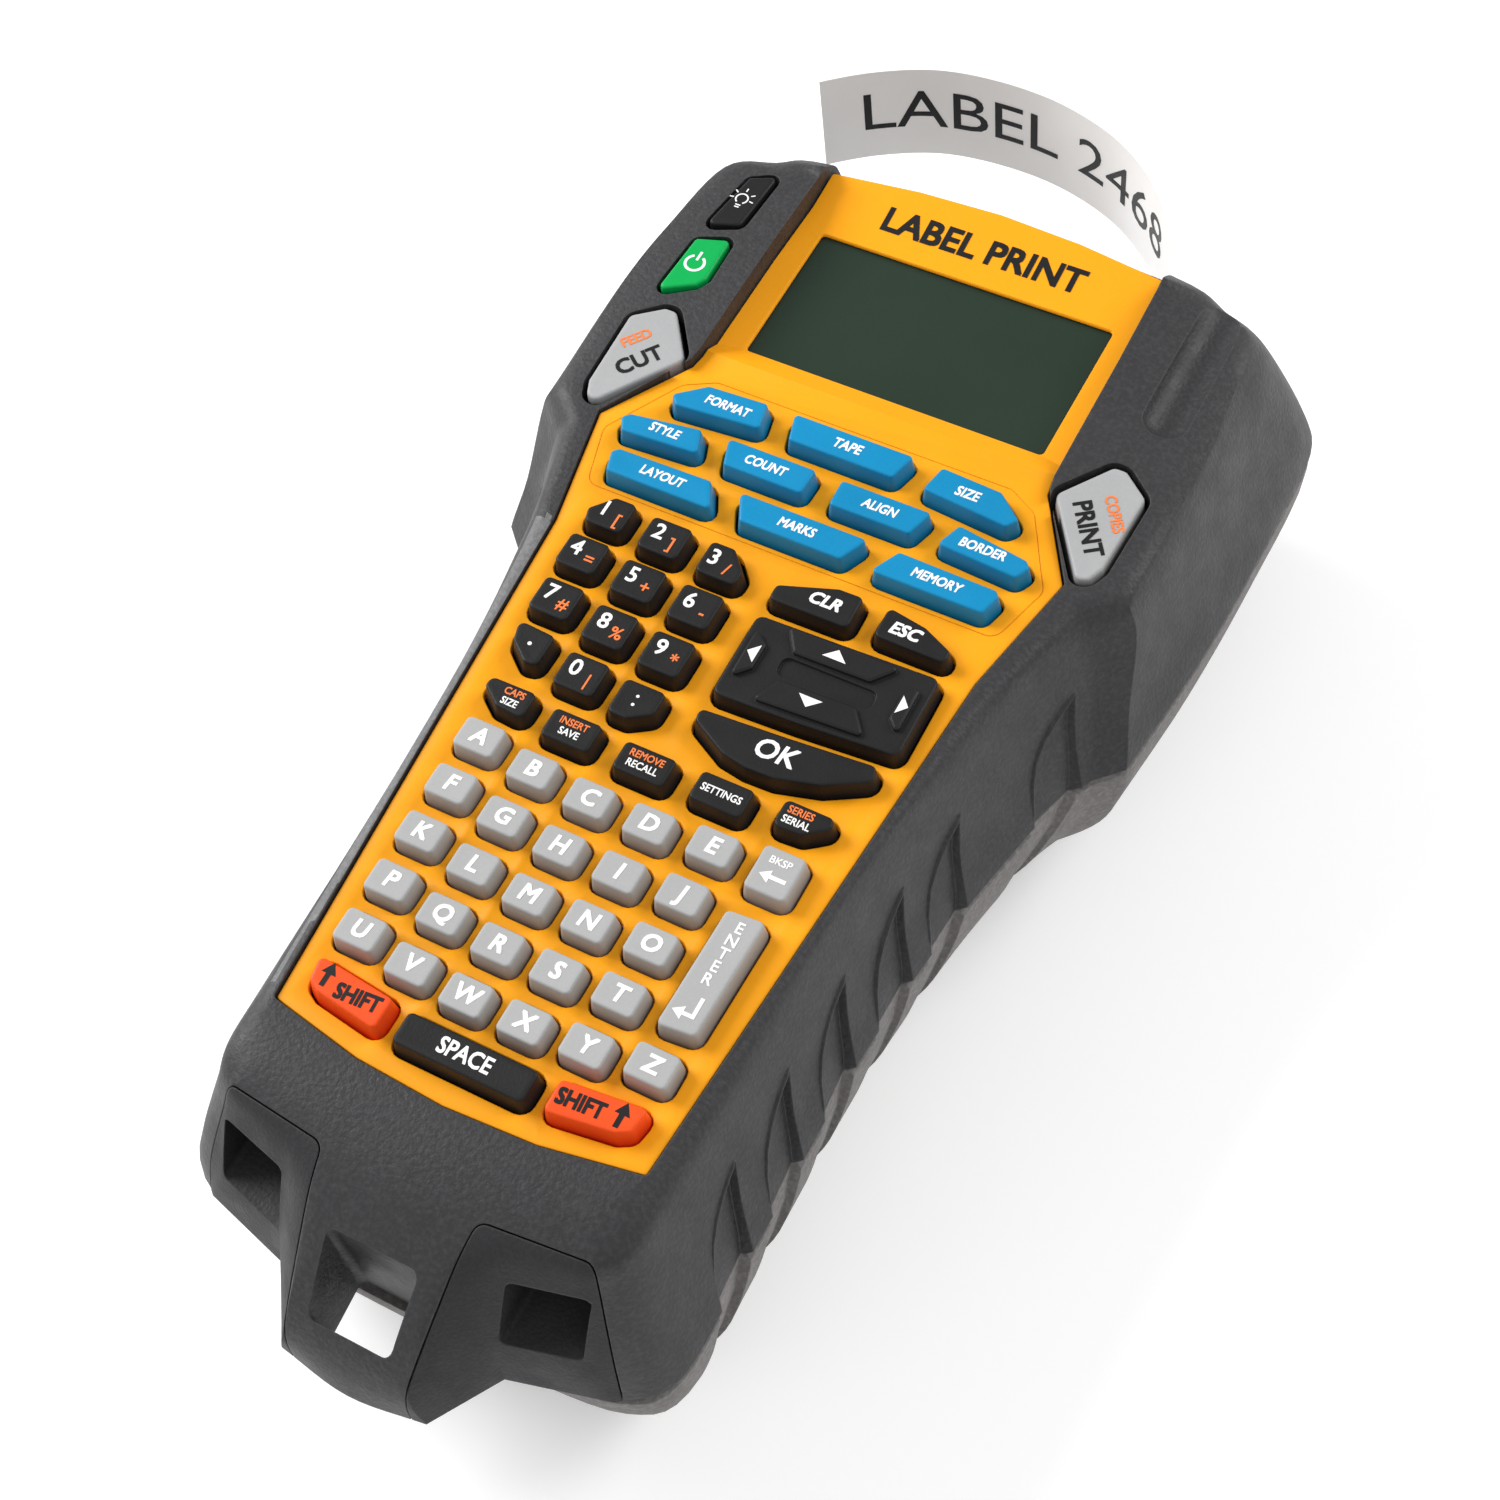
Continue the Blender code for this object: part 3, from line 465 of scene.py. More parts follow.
# Seat of the faceplate, then the inside of the shell: its half outline near the top, and how far
# it flares out towards the parting line.
plate_out = rounded(whole(PLATE[:9] + ((37.2, 215), (0, 215))), 0.7, 0.32, 3)
inner_half = [(0, -21), (20, -20.5), (34, -18), (37, -12), (38.4, 30), (40.6, 60), (44.6, 85),
              (47.4, 98), (53, 113), (59.4, 120), (60.8, 150), (60, 170), (57.4, 185.4), (49, 190.6),
              (36, 194.4), (0, 196)]
flare = (0, 2, 5, 7, 6.6, 6.8, 6.8, 6.6, 6, 5.6, 6.4, 8, 8.4, 8.2, 5, 0)
inner_low = [(x + f * 0.9, y + (3.5 if i > 12 else 0))
             for i, ((x, y), f) in enumerate(zip(inner_half, flare))]


def port_cutter(sign):
    """Rectangular recess with eased corners, cut in from the hook end."""
    x0, x1 = sorted((sign * PORT[0], sign * PORT[1]))
    mouth = rounded(box_pts(x0, x1, PORT[2], PORT[3]), 1.3)
    return [[(x, y, z) for x, z in mouth] for y in (-14.0, -60.0)]


# Height, and by what share the lower shell is drawn in there.
BELLY = ((37.85, 0.022), (37.0, 0.0), (28.0, 0.012), (17.0, 0.062), (7.0, 0.17), (1.2, 0.29),
         (0.0, 0.305))
GRIP_TOPS = (104.0, 71.5, 53.5, 33.5, 13.5, -5.5)


def outline_x(half, y):
    """Half width of an outline at y along the body."""
    for (ax, ay), (bx, by) in zip(half[1:-1], half[2:]):
        if ay <= y <= by:
            return ax + (bx - ax) * (y - ay) / (by - ay)
    return half[-2][0]


def side_x(y, z):
    """Half width of the shell's side at a point along and up it."""
    if z < Z_SPLIT:
        for (za, ka), (zb, kb) in zip(BELLY, BELLY[1:]):
            if zb <= z <= za:
                return outline_x(SHELL_RINGS[0][1], y) * (1 - kb - (ka - kb) * (z - zb) / (za - zb))
        return outline_x(SHELL_RINGS[0][1], y)
    for (za, lo), (zb, hi) in zip(SHELL_RINGS, SHELL_RINGS[1:]):
        if z <= zb:
            f = (z - za) / (zb - za)
            return outline_x(lo, y) * (1 - f) + outline_x(hi, y) * f
    return outline_x(SHELL_RINGS[-1][1], y)


def slot_end(top, z):
    """Head end of a finger recess at height z; it slants towards the hook on its way down."""
    return top - (52 - z) * 0.4


def grip_slots(sign, levels, depth):
    """Leaf-shaped finger recesses, deeper towards the head; levels are (z, width, share of depth)."""
    slots = []
    for top in GRIP_TOPS:
        rings = []
        for z, wide, share in levels:
            hi = slot_end(top, z)
            lo = hi - wide
            ease = min(0.5, 0.2 * wide)
            x_hi = side_x(hi, z)
            x_lo = side_x(lo, z)
            rings.append([(sign * (x_hi - depth * share), hi - ease, z),
                          (sign * (x_hi + 4), hi + ease, z),
                          (sign * (x_lo + 4), lo - ease, z),
                          (sign * (x_lo - 0.85 * share), lo + 0.1, z)])
        slots.append(rings)
    return slots


GRIP_WIDE = 11.8
GRIP_FRONT = ((36.5, GRIP_WIDE, 1.0), (42, GRIP_WIDE, 1.0), (47, 11.3, 1.0), (51, 10.0, 1.0),
              (54, 8.0, 1.0), (56, 5.6, 0.9), (57.4, 3.2, 0.7), (58.2, 1.4, 0.4))
LIP_FOOT = 39.4


def grip_lips(sign):
    """Fine raised lip along the hook side of each finger recess."""
    lips = []
    for top in GRIP_TOPS:
        path = [(slot_end(top, z) - wide, z) for z, wide, _ in GRIP_FRONT if z > 40]
        path.insert(0, (slot_end(top, LIP_FOOT) - GRIP_WIDE, LIP_FOOT))
        path.append((top + 2.5, 58.6))
        rings = []
        for i, (y, z) in enumerate(path):
            (ay, az), (by, bz) = path[max(i - 1, 0)], path[min(i + 1, len(path) - 1)]
            run = hypot(by - ay, bz - az)
            ny, nz = (az - bz) / run, (by - ay) / run
            x = side_x(y, z)
            root = sign * (x - 0.9)
            crown = sign * (x + (0.34 if 0 < i < len(path) - 1 else -0.1))
            rings.append([(root, y + 0.5 * ny, z + 0.5 * nz), (crown, y + 0.14 * ny, z + 0.14 * nz),
                          (crown, y - 0.14 * ny, z - 0.14 * nz), (root, y - 0.5 * ny, z - 0.5 * nz)])
        lips.append(rings)
    return lips


GRIP_REAR = ((10.0, 11.0, 0.1), (20.0, 11.4, 0.6), (30.0, GRIP_WIDE, 1.0), (40.0, GRIP_WIDE, 1.0))


def trough_rings():
    """Rounded channel in which the label leaves the head; its inner end is rounded off."""
    radius = 5.6
    start = 161.0
    rings = []
    for y in [156.2 + 0.7 * k for k in range(6)] + [start, 190.0, 202.0]:
        grow = max(0.08, max(0.0, 1 - ((start - min(y, start)) / 5.2) ** 2) ** 0.5)
        rings.append([(52.3 + radius * cos(a) * grow, y, 76.9 - radius * sin(a) * grow)
                      for a in [pi * j / 14 for j in range(15)]])
    return rings


def bezel_rings(zone, gap):
    return prism(rounded(zone, 2.2, gap), 30, 90)


THROUGH = (60, 82)   # heights of a cutter that opens the shell's top
LENS_CUT = [(0, 139.25), (38.4, 139.25), (38.2, 170), (37.5, 214), (0, 214)]
OPENING = PLATE[:8] + ((37.5, 190), (0, 190))
shell = lofted("shell_front", shell_levels(), angle=50)
carve(shell,
      lofted("t_cavity", [level(whole(inner_low), 36), level(whole(inner_low), 38.2),
                          level(whole(inner_half), 64.5)]),
      lofted("t_recess", prism(plate_out, 70.0, 82)),
      lofted("t_display", prism(whole(LENS_CUT), 66.48, 72)),
      lofted("t_open", prism(rounded(whole(OPENING), 2.4, -1.6, 3), *THROUGH)),
      lofted("t_keys", *[prism(rounded(outline, hole_r, 1.35), *THROUGH)
                         for _, outline, _, _, hole_r, _ in SIDE_KEYS]),
      lofted("t_trough", trough_rings()),
      lofted("t_hook", prism(rounded(HOOK_HOLE, 1.6, 0.0), 30, 82)),
      lofted("t_slot", cuboid(34.7, 38.3, 190, 215, 37, 65.2)),
      lofted("t_ports", port_cutter(-1), port_cutter(1)),
      lofted("t_bezels", bezel_rings(BEZEL, 0.3), bezel_rings(flip(BEZEL), 0.3)),
      lofted("t_grips", *grip_slots(1, GRIP_FRONT, 1.9), *grip_slots(-1, GRIP_FRONT, 1.9)),
      angle=34)
finish(shell, "shell", "body", ["front_housing"])

# Painted shadow inside the parting-line groove, and a painted highlight on the flat left rim of the face.
SEAM_TOP = 39.2
RIM_LOW = 72.55
shell.data.materials.append(MAT["seam"])
shell.data.materials.append(MAT["rim"])
for poly in shell.data.polygons:
    x, y, z = poly.center.x / UNIT, poly.center.y / UNIT + Y_MID, poly.center.z / UNIT
    top = max(shell.data.vertices[i].co.z for i in poly.vertices) / UNIT
    # painted shadow: faces low in the parting-line groove take the near-black seam material
    if top < SEAM_TOP:
        poly.material_index = 1
    # painted highlight: upward faces of the flat left rim take the lighter rim material
    elif z > RIM_LOW and x < -39 and -16 < y < 92 and poly.normal.z > 0.5:
        poly.material_index = 2

finish(lofted("grip_lips", *grip_lips(1), *grip_lips(-1)), "shell", "body")

for side, sign, zone in (("left", -1, flip(BEZEL)), ("right", 1, BEZEL)):
    bezel = lofted("bezel_" + side, shell_levels(), angle=50)
    carve(bezel, lofted("t_zone", bezel_rings(zone, 0.0)), operation="INTERSECT")
    carve(bezel, lofted("t_port", port_cutter(sign)), angle=40)
    finish(bezel, "bezel", "body", ["port_bezel_" + side])

# ----------------------------------------------------------------- rear shell
REAR_RING = ((0, -47), (13, -47), (24, -46.6), (42, -44.2), (50, -36), (50.4, -10), (50.8, 30),
             (53.8, 60), (57.8, 82), (60.3, 92), (64.3, 101), (69.3, 106), (72.3, 135),
             (73.3, 165), (72.8, 190.8), (65.8, 199.8), (47.8, 204.8), (0, 207.8))
DOORS = (("cassette_door", (-41.0, 41.0, 108.0, 176.0)), ("battery_door", (-23.0, 23.0, -14.0, 71.0)))
SCREWS = ((-30, 92), (30, 92), (-28, 0), (28, 0))


def rear_levels(wall, lift):
    """Rings of the belly, drawn in by wall (a share) and raised by lift at the bottom."""
    levels = []
    for z, share in BELLY:
        k = share + wall
        ring = [(x * (1 - k), 80 + (y - 80) * (1 - 0.55 * k), z + lift * (38 - z) / 38)
                for x, y in REAR_RING]
        levels.append(whole(spline(ring, {10, 11}, 5)))
    return list(reversed(column_rings(levels, (1, 3, 4, 4, 4, 1))))


def screw_hole(x, y):
    return prism([(x + 2.6 * cos(pi * i / 10), y + 2.6 * sin(pi * i / 10)) for i in range(20)], -1, 1.6)


rear = lofted("shell_rear", rear_levels(0.0, 0.0), angle=50)
hollow = rear_levels(0.055, 2.4)
hollow[-1] = [(x, y, 40.0) for x, y, _ in hollow[-1]]
carve(rear, lofted("t_hollow", hollow),
      lofted("t_doors", *[cuboid(*zone, -5, 12) for _, zone in DOORS]),
      lofted("t_grips", *grip_slots(1, GRIP_REAR, 1.7), *grip_slots(-1, GRIP_REAR, 1.7)),
      lofted("t_screws", *[screw_hole(x, y) for x, y in SCREWS]), angle=40)
finish(rear, "rear", "body", ["back_housing"])


def door_piece(node, zone):
    """Flush door with a gap all round, finger grooves and, over the cassette, two presser ribs."""
    gap = 0.37
    x0, x1, y0, y1 = [v + d for v, d in zip(zone, (gap, -gap, gap, -gap))]
    panel = lofted("panel_" + node,
                   stack(box_pts(x0, x1, y0, y1), 1.4, ((0.0, -0.4), (0.4, 0.0), (2.0, 0.0))), angle=30)
    grooves = [cuboid(-9, 9, y1 - 6.5 - 2.2 * k, y1 - 5.4 - 2.2 * k, -1, 0.7) for k in range(4)]
    carve(panel, lofted("t_grooves", *grooves))
    if node == "cassette_door":
        ribs = [lofted("t_rib_" + side, cuboid(x, x + 2.5, 128, 162, 1.0, 33.5))
                for side, x in (("left", -26), ("right", 20))]
        carve(panel, *ribs, operation="UNION")
    return finish(panel, "rear", node, [node])


for node, zone in DOORS:
    door_piece(node, zone)

# ------------------------------------------------------------------ faceplate
ALPHABET_ROWS = ("ABCDE", "FGHIJ", "KLMNO", "PQRST", "UVWXYZ")
COLUMN_PITCH = 12.0
ROW_PITCH = 10.655
LETTERS = []
for row, letters in enumerate(ALPHABET_ROWS):
    for column, letter in enumerate(letters):
        side = column - 2.5
        height = (4 - row) * ROW_PITCH
        fan = 1 + 0.117 * (height - 21.31) / 100
        LETTERS.append((letter, side * COLUMN_PITCH * fan, height - 2.69 * (1 - (side / 2.5) ** 2)))

U_END = [(17.8, 126.0), (35.4, 124.5), (37.0, 126.4), (31.4, 130.9), (19.0, 131.6)]
V_END = [(25.9, 115.7), (42.0, 114.7), (43.4, 117.4), (42.2, 118.6), (27.8, 120.7)]
V_MID = [(3.2, 115.5), (19.7, 115.5), (21.5, 121.1), (3.0, 121.1)]
W_END = [(17.3, 105.0), (39.8, 105.0), (41.0, 109.2), (40.0, 110.2), (20.2, 110.6)]
SHIFT = [(17.0, -14.8), (29.6, -13.0), (31.8, -11.8), (32.6, -7.4), (17.0, -9.0)]
SOFT_END = [(26.0, 49.4), (31.5, 49.8), (35.5, 52.8), (35.1, 54.6), (26.0, 54.7)]
# name, outline, material, corner radius
KEYS = [
    ("key_menu_a", flip(U_END), "blue", 0.6),
    ("key_menu_b", [(-11, 126), (11, 126), (12.6, 131.7), (-12.6, 131.7)], "blue", 0.6),
    ("key_menu_c", U_END, "blue", 0.6),
    ("key_menu_d", flip(V_END), "blue", 0.6),
    ("key_menu_e", flip(V_MID), "blue", 0.6),
    ("key_menu_f", V_MID, "blue", 0.6),
    ("key_menu_g", V_END, "blue", 0.6),
    ("key_menu_h", flip(W_END), "blue", 0.6),
    ("key_menu_i", [(-10.6, 105), (10.6, 105), (13.3, 110.6), (-13.3, 110.6)], "blue", 0.6),
    ("key_menu_j", W_END, "blue", 0.6),
    ("key_1", [(-37.5, 92.9), (-30.3, 92.9), (-30.3, 99.6), (-34.6, 99.6), (-38.3, 95.5)], "black", 0.9),
    ("key_2", box_pts(-25.7, -17.6, 91.9, 98.9), "black", 0.9),
    ("key_3", [(-12.8, 91.5), (-4.6, 91.5), (-4.6, 94.3), (-8.3, 98.4), (-12.8, 98.4)], "black", 0.9),
    ("key_4", box_pts(-38.1, -30.2, 82.3, 89.2), "black", 0.9),
    ("key_5", box_pts(-25.5, -17.2, 81.0, 88.2), "black", 0.9),
    ("key_6", box_pts(-12.8, -4.7, 80.3, 87.8), "black", 0.9),
    ("key_7", box_pts(-37.4, -29.5, 71.2, 78.4), "black", 0.9),
    ("key_8", box_pts(-25.1, -17.0, 69.6, 77.1), "black", 0.9),
    ("key_9", box_pts(-12.6, -4.5, 68.8, 76.4), "black", 0.9),
    ("key_point", [(-31.8, 60.2), (-29.4, 60.4), (-29.3, 67.0), (-37.0, 67.5), (-35.8, 63.4)],
     "black", 1.0),
    ("key_0", box_pts(-24.7, -16.7, 58.6, 65.7), "black", 0.9),
    ("key_colon", [(-12.4, 57.5), (-8.6, 57.5), (-4.4, 60.2), (-4.4, 64.8), (-12.4, 64.8)], "black", 1.0),
    ("key_clear", [(2.9, 91.6), (18.8, 91.8), (18.6, 98.6), (13.8, 98.5), (2.9, 94.6)], "black", 0.9),
    ("key_escape", [(24.2, 92.4), (38.4, 92.4), (38.2, 94.6), (32, 97.4), (24.2, 98.7)], "black", 0.9),
    ("key_ok", [(11.0, 58.4), (16.0, 57.6), (21.7, 57.8), (30.0, 60.1), (37.7, 64.5), (37.2, 67.3),
                (20.0, 65.9), (2.9, 64.8), (3.4, 62.4)], "black", 1.2),
    ("key_soft_a", flip(SOFT_END), "black", 1.0),
    ("key_soft_b", box_pts(-21.0, -11.5, 48.1, 53.8), "black", 0.8),
    ("key_soft_c", box_pts(-5.7, 4.3, 47.6, 53.2), "black", 0.8),
    ("key_soft_d", box_pts(9.8, 19.9, 48.0, 53.6), "black", 0.8),
    ("key_soft_e", SOFT_END, "black", 1.0),
    ("key_backspace", box_pts(27.0, 34.7, 36.6, 45.2), "grey", 0.8),
    ("key_enter", [(26.3, 7.2), (33.1, 7.8), (33.8, 31.4), (26.9, 30.9)], "grey", 0.8),
    ("key_shift_left", flip(SHIFT), "orange", 0.8),
    ("key_space", box_pts(-12.8, 12.8, -15.3, -9.6), "black", 0.9),
    ("key_shift_right", SHIFT, "orange", 0.8),
]
NAV = [(3.0, 69.2), (20, 69.9), (38.8, 71.3), (39.3, 72.4), (39.1, 88.6), (20, 87.9), (2.8, 87.4)]


def letter_pts(x, y):
    return box_pts(x - 3.9, x + 3.9, y - 3.0, y + 3.0)


def hole_rings(pts, r, gap):
    """Cutter for a key hole whose rim is rolled over."""
    roll = ((60.0, 0.0), (Z_FACE - 0.32, 0.0), (Z_FACE - 0.16, 0.04), (Z_FACE - 0.05, 0.14),
            (Z_FACE, 0.3), (80.0, 0.3))
    return stack(pts, r, [(z, gap + more) for z, more in roll])


def menu_groove():
    """Cutter for the fine engraved line around the menu keys."""
    half = [(0, 102.6), (43.5, 102.6), (47.3, 115.8), (38.2, 131.5), (32.0, 134.9), (0, 134.9)]
    outer = lofted("t_groove", stack(whole(half), 3.0, ((Z_FACE - 0.16, -0.05), (Z_FACE + 1, 0.28)), 5))
    inner = lofted("t_groove_in", stack(whole(half), 3.0, ((Z_FACE - 1, -0.06), (Z_FACE + 2, -0.40)), 5))
    return carve(outer, inner)


def well_rings():
    """Cutter for the sunken display surround, whose head end lies a little lower."""
    edge = box_pts(-50.8, 50.8, 141.2, 200.0)
    drops = (0.0, 0.0, 0.65, 0.65)
    return [level(box_pts(-33.0, 33.0, 146.7, 181.3), Z_RIM),
            [(x, y, 72.55 - drop) for (x, y), drop in zip(edge, drops)],
            level(edge, 80.0)]


WINDOW = box_pts(-32.6, 32.6, 147.0, 180.8)
face = lofted("face_panel", stack(whole(PLATE), 0.6, ((66.8, 0.0), (Z_FACE - 0.35, 0.0),
                                                      (Z_FACE - 0.1, -0.10), (Z_FACE, -0.35)), 3), angle=28)
groove = menu_groove()
carve(face,
      lofted("t_under", cuboid(-60, 60, -30, 139.6, 60, 70.3)),
      lofted("t_well", well_rings()),
      lofted("t_window", stack(WINDOW, 0.9, ((60, 0.0), (Z_RIM - 0.45, 0.0), (Z_RIM - 0.12, 0.12),
                                             (Z_RIM + 0.35, 0.6)))),
      lofted("t_seat", cuboid(-34.6, 34.6, 145.4, 182.4, 60, 68.5)),
      groove,
      lofted("t_holes", *[hole_rings(pts, r + 0.4, 1.3) for _, pts, _, r in KEYS],
             hole_rings(NAV, 1.6, 1.3)),
      lofted("t_letter_holes", *[hole_rings(letter_pts(x, y), 1.2, 1.25) for _, x, y in LETTERS]),
      angle=30)
finish(face, "yellow", "body", ["faceplate"])

# The sunken display surround lies low, where the face's painted shade would deepen its colour, so it gets
# the plain yellow without painted shade.
BED_START = at(0, 140.5, 0).y
face.data.materials.append(MAT["yellow_bed"])
for poly in face.data.polygons:
    if poly.center.y > BED_START:
        poly.material_index = 1

pane = lofted("display_pane", stack(box_pts(-34.2, 34.2, 145.75, 182.05), 0.8,
                                    ((67.1, 0.0), (68.05, 0.0), (68.2, -0.15))))
finish(pane, "glass", "body", ["lcd_window"])


# ------------------------------------------------------------------------ keys
def key_rings(pts, r, top, foot, flange=1.15, bevel=0.5, lean=0.25, dish=0.05):
    """Drafted key with a rolled top edge and a slightly hollow top."""
    quarter = [k * pi / 10 for k in range(1, 6)]
    steps = [(foot, flange), (top - bevel, lean)]
    steps += [(top - bevel * (1 - sin(a)), lean - bevel * (1 - cos(a))) for a in quarter]
    steps.append((top - dish, lean - bevel - 0.7))
    return stack(pts, r, steps)


for name, pts, material, r in KEYS:
    key = lofted("cap_" + name, key_rings(pts, r, Z_KEY, 69.3), angle=42)
    finish(key, material, name, [name])

for name, pts, material, r, _, top in SIDE_KEYS:
    key = lofted("cap_" + name, key_rings(pts, r, top, 63.2, 0.9, 0.6, 0.2), angle=42)
    finish(key, material, name, [name])

MAT_OUTLINE = [(-36.3, -2.9), (-30, -4.6), (-18, -6.3), (0, -7.2), (18, -6.3), (30, -4.6),
               (34.6, -4.4), (34.6, 4.0), (23.9, 4.0), (24.2, 45.2), (18, 45.6), (6, 44.9),
               (-6, 44.9), (-18, 45.7), (-28, 46.9), (-36.6, 47.5)]
mat_pts = [(x * (1.0 if y > 20 else 0.975), y) for x, y in MAT_OUTLINE]
# The sheet lies low, so the grey material's painted shade darkens it.
keymat = lofted("letter_mat", prism(mat_pts, 69.0, 69.9),
                *[key_rings(letter_pts(x, y), 0.8, Z_KEY, 69.5, 1.0) for _, x, y in LETTERS], angle=42)
finish(keymat, "grey", "body", ["letter_keymat"])

nav = lofted("cap_nav_pad", key_rings(NAV, 1.4, Z_KEY - 0.3, 69.3), angle=42)
PAD_TOP = 76.65
# Raised zones of the navigation pad: head, hook, left and right.
ARROW_PADS = (
    [(9.0, 87.4), (12.6, 82.2), (28.2, 82.5), (32.4, 87.6)],
    [(10.2, 70.4), (32.6, 71.6), (28.4, 76.8), (13.0, 76.2)],
    [(4.2, 72.6), (7.6, 76.2), (7.6, 81.8), (4.0, 84.8)],
    [(34.6, 77.2), (37.6, 74.2), (37.4, 86.0), (34.6, 83.0)],
)
carve(nav, *[lofted("t_pad%d" % number, stack(pad, 0.8, ((75.2, 0.0), (76.35, -0.15), (PAD_TOP, -0.55))))
             for number, pad in enumerate(ARROW_PADS)], operation="UNION", angle=36)
carve(nav, lofted("t_dish", stack(box_pts(11.5, 30.5, 77.4, 81.4), 1.4, ((75.1, 0.0), (77, 0.6)))),
      angle=36)
finish(nav, "black", "nav_pad", ["nav_pad"])


# --------------------------------------------------------------------- legends
TOP = Z_KEY - 0.02


def legend(name, text, x, y, size, ink, body, turn=0.0, z=TOP, squeeze=1.0, slant=0.0, weight=0.0,
           tilt=0.0):
    """Printed lettering, thin enough to read as ink; weight strikes it four times, slightly apart."""
    curve = bpy.data.curves.new(name, "FONT")
    curve.body = text
    curve.size = size * UNIT
    curve.align_x = "CENTER"
    curve.align_y = "CENTER"
    curve.shear = slant
    curve.extrude = 0.02 * UNIT
    curve.resolution_u = 3
    ob = bpy.data.objects.new(name, curve)
    bpy.context.scene.collection.objects.link(ob)
    graph = bpy.context.evaluated_depsgraph_get()
    graph.update()
    me = bpy.data.meshes.new_from_object(ob.evaluated_get(graph))
    bpy.data.objects.remove(ob, do_unlink=True)
    if weight:
        bm = bmesh.new()
        for dx, dy, dz in ((-1, -1, 0.0), (1, -1, 0.007), (-1, 1, 0.014), (1, 1, 0.021)):
            shift = Vector((dx * weight, dy * weight, dz)) * UNIT
            me.transform(Matrix.Translation(shift))
            bm.from_mesh(me)
            me.transform(Matrix.Translation(-shift))
        bm.to_mesh(me)
        bm.free()
    me.transform(Matrix.Translation(at(x, y, z)) @ Matrix.Rotation(radians(tilt), 4, "X")
                 @ Matrix.Rotation(radians(turn), 4, "Z") @ Matrix.Diagonal((squeeze, 1.0, 1.0, 1.0)))
    done = bpy.data.objects.new(name, me)
    bpy.context.scene.collection.objects.link(done)
    return finish(done, ink, body)


def sticker(name, outlines, ink, body, z):
    """Printed shapes on a key top."""
    sets = [prism(o, z - 0.02, z + 0.03) for o in outlines]
    return finish(lofted(name, *sets), ink, body)


def centre(pts):
    xs = [p[0] for p in pts]
    ys = [p[1] for p in pts]
    return (min(xs) + max(xs)) / 2, (min(ys) + max(ys)) / 2


for letter, x, y in LETTERS:
    legend("ink_letter_" + letter, letter, x, y, 4.6, "white_ink", "body", weight=0.15, slant=0.12)

CENTRES = {name: centre(pts) for name, pts, _, _ in KEYS}
# key, word, size, shift from the key's centre
MENU = (("a", "FORMAT", 2.9, 1.6), ("b", "TAPE", 3.1, 0.0), ("c", "SIZE", 3.1, -1.6),
        ("d", "STYLE", 2.9, 0.5), ("e", "COUNT", 2.9, 0.0), ("f", "ALIGN", 2.9, 0.0),
        ("g", "BORDER", 2.9, -0.8), ("h", "LAYOUT", 2.9, 0.0), ("i", "MARKS", 2.9, 0.0),
        ("j", "MEMORY", 2.9, 0.0))
for tag, word, size, shift in MENU:
    x, y = CENTRES["key_menu_" + tag]
    legend("ink_menu_" + tag, word, x + shift, y, size, "white_ink", "key_menu_" + tag,
           squeeze=0.84, slant=0.14, weight=0.08)

DIGITS = "1234567890"
MARKS = "[]/=+-#%*|"
for digit, mark in zip(DIGITS, MARKS):
    x, y = CENTRES["key_" + digit]
    dx, dy = {"1": (0.5, -0.3), "3": (-0.6, -0.4)}.get(digit, (0, 0))
    legend("ink_digit_" + digit, digit, x - 1.5 + dx, y + 0.7 + dy, 4.8, "white_ink", "key_" + digit,
           weight=0.08)
    legend("ink_mark_" + digit, mark, x + 1.9 + dx, y - 0.9 + dy, 3.7, "orange_ink", "key_" + digit,
           weight=0.05)
for name, mark, dx, dy, size in (("point", ".", 0.4, 1.8, 7), ("colon", ":", -0.3, 0.6, 5.5)):
    x, y = CENTRES["key_" + name]
    legend("ink_" + name, mark, x + dx, y + dy, size, "white_ink", "key_" + name)

# key, upper word, lower word, shift from the key's centre
SOFT = (("a", "CAPS", "SIZE", 1.2), ("b", "INSERT", "SAVE", 0.0), ("c", "REMOVE", "RECALL", 0.0),
        ("d", "", "SETTINGS", 0.0), ("e", "SERIES", "SERIAL", -1.2))
for tag, high, low, shift in SOFT:
    key = "key_soft_" + tag
    x, y = CENTRES[key]
    if high:
        legend("ink_soft_hi_" + tag, high, x + shift, y + 1.2, 2.1, "orange_ink", key,
               squeeze=0.88, weight=0.04)
    drop = 0.9 if high else 0.0
    legend("ink_soft_lo_" + tag, low, x + shift, y - drop, 2.1, "white_ink", key,
           squeeze=0.88, weight=0.04)

legend("ink_clear", "CLR", 12.6, 95.0, 3.6, "white_ink", "key_clear", slant=0.2, weight=0.12)
legend("ink_escape", "ESC", 29.0, 95.1, 3.6, "white_ink", "key_escape", slant=0.2, weight=0.12)
legend("ink_ok", "OK", 19.6, 62.2, 5.6, "white_ink", "key_ok", slant=0.1, weight=0.1)
legend("ink_space", "SPACE", 0, -12.4, 4.3, "white_ink", "key_space", squeeze=0.86, weight=0.1)
for side, x, y in (("left", -22.4, -11.4), ("right", 22.0, -11.3)):
    legend("ink_shift_" + side, "SHIFT", x, y, 4.1, "black_ink", "key_shift_" + side, turn=4,
           squeeze=0.86, weight=0.17)
legend("ink_back", "BKSP", 30.9, 43.0, 2.0, "white_ink", "key_backspace", weight=0.04)
for k, letter in enumerate("ENTER"):
    legend("ink_enter_%d" % k, letter, 30.5 - 0.12 * k, 28.6 - 2.7 * k, 3.1, "white_ink", "key_enter",
           weight=0.06)


def turned(pts, x, y, turn):
    """Points turned by turn degrees and moved to x, y."""
    c, s = cos(radians(turn)), sin(radians(turn))
    return [(x + c * a - s * b, y + s * a + c * b) for a, b in pts]


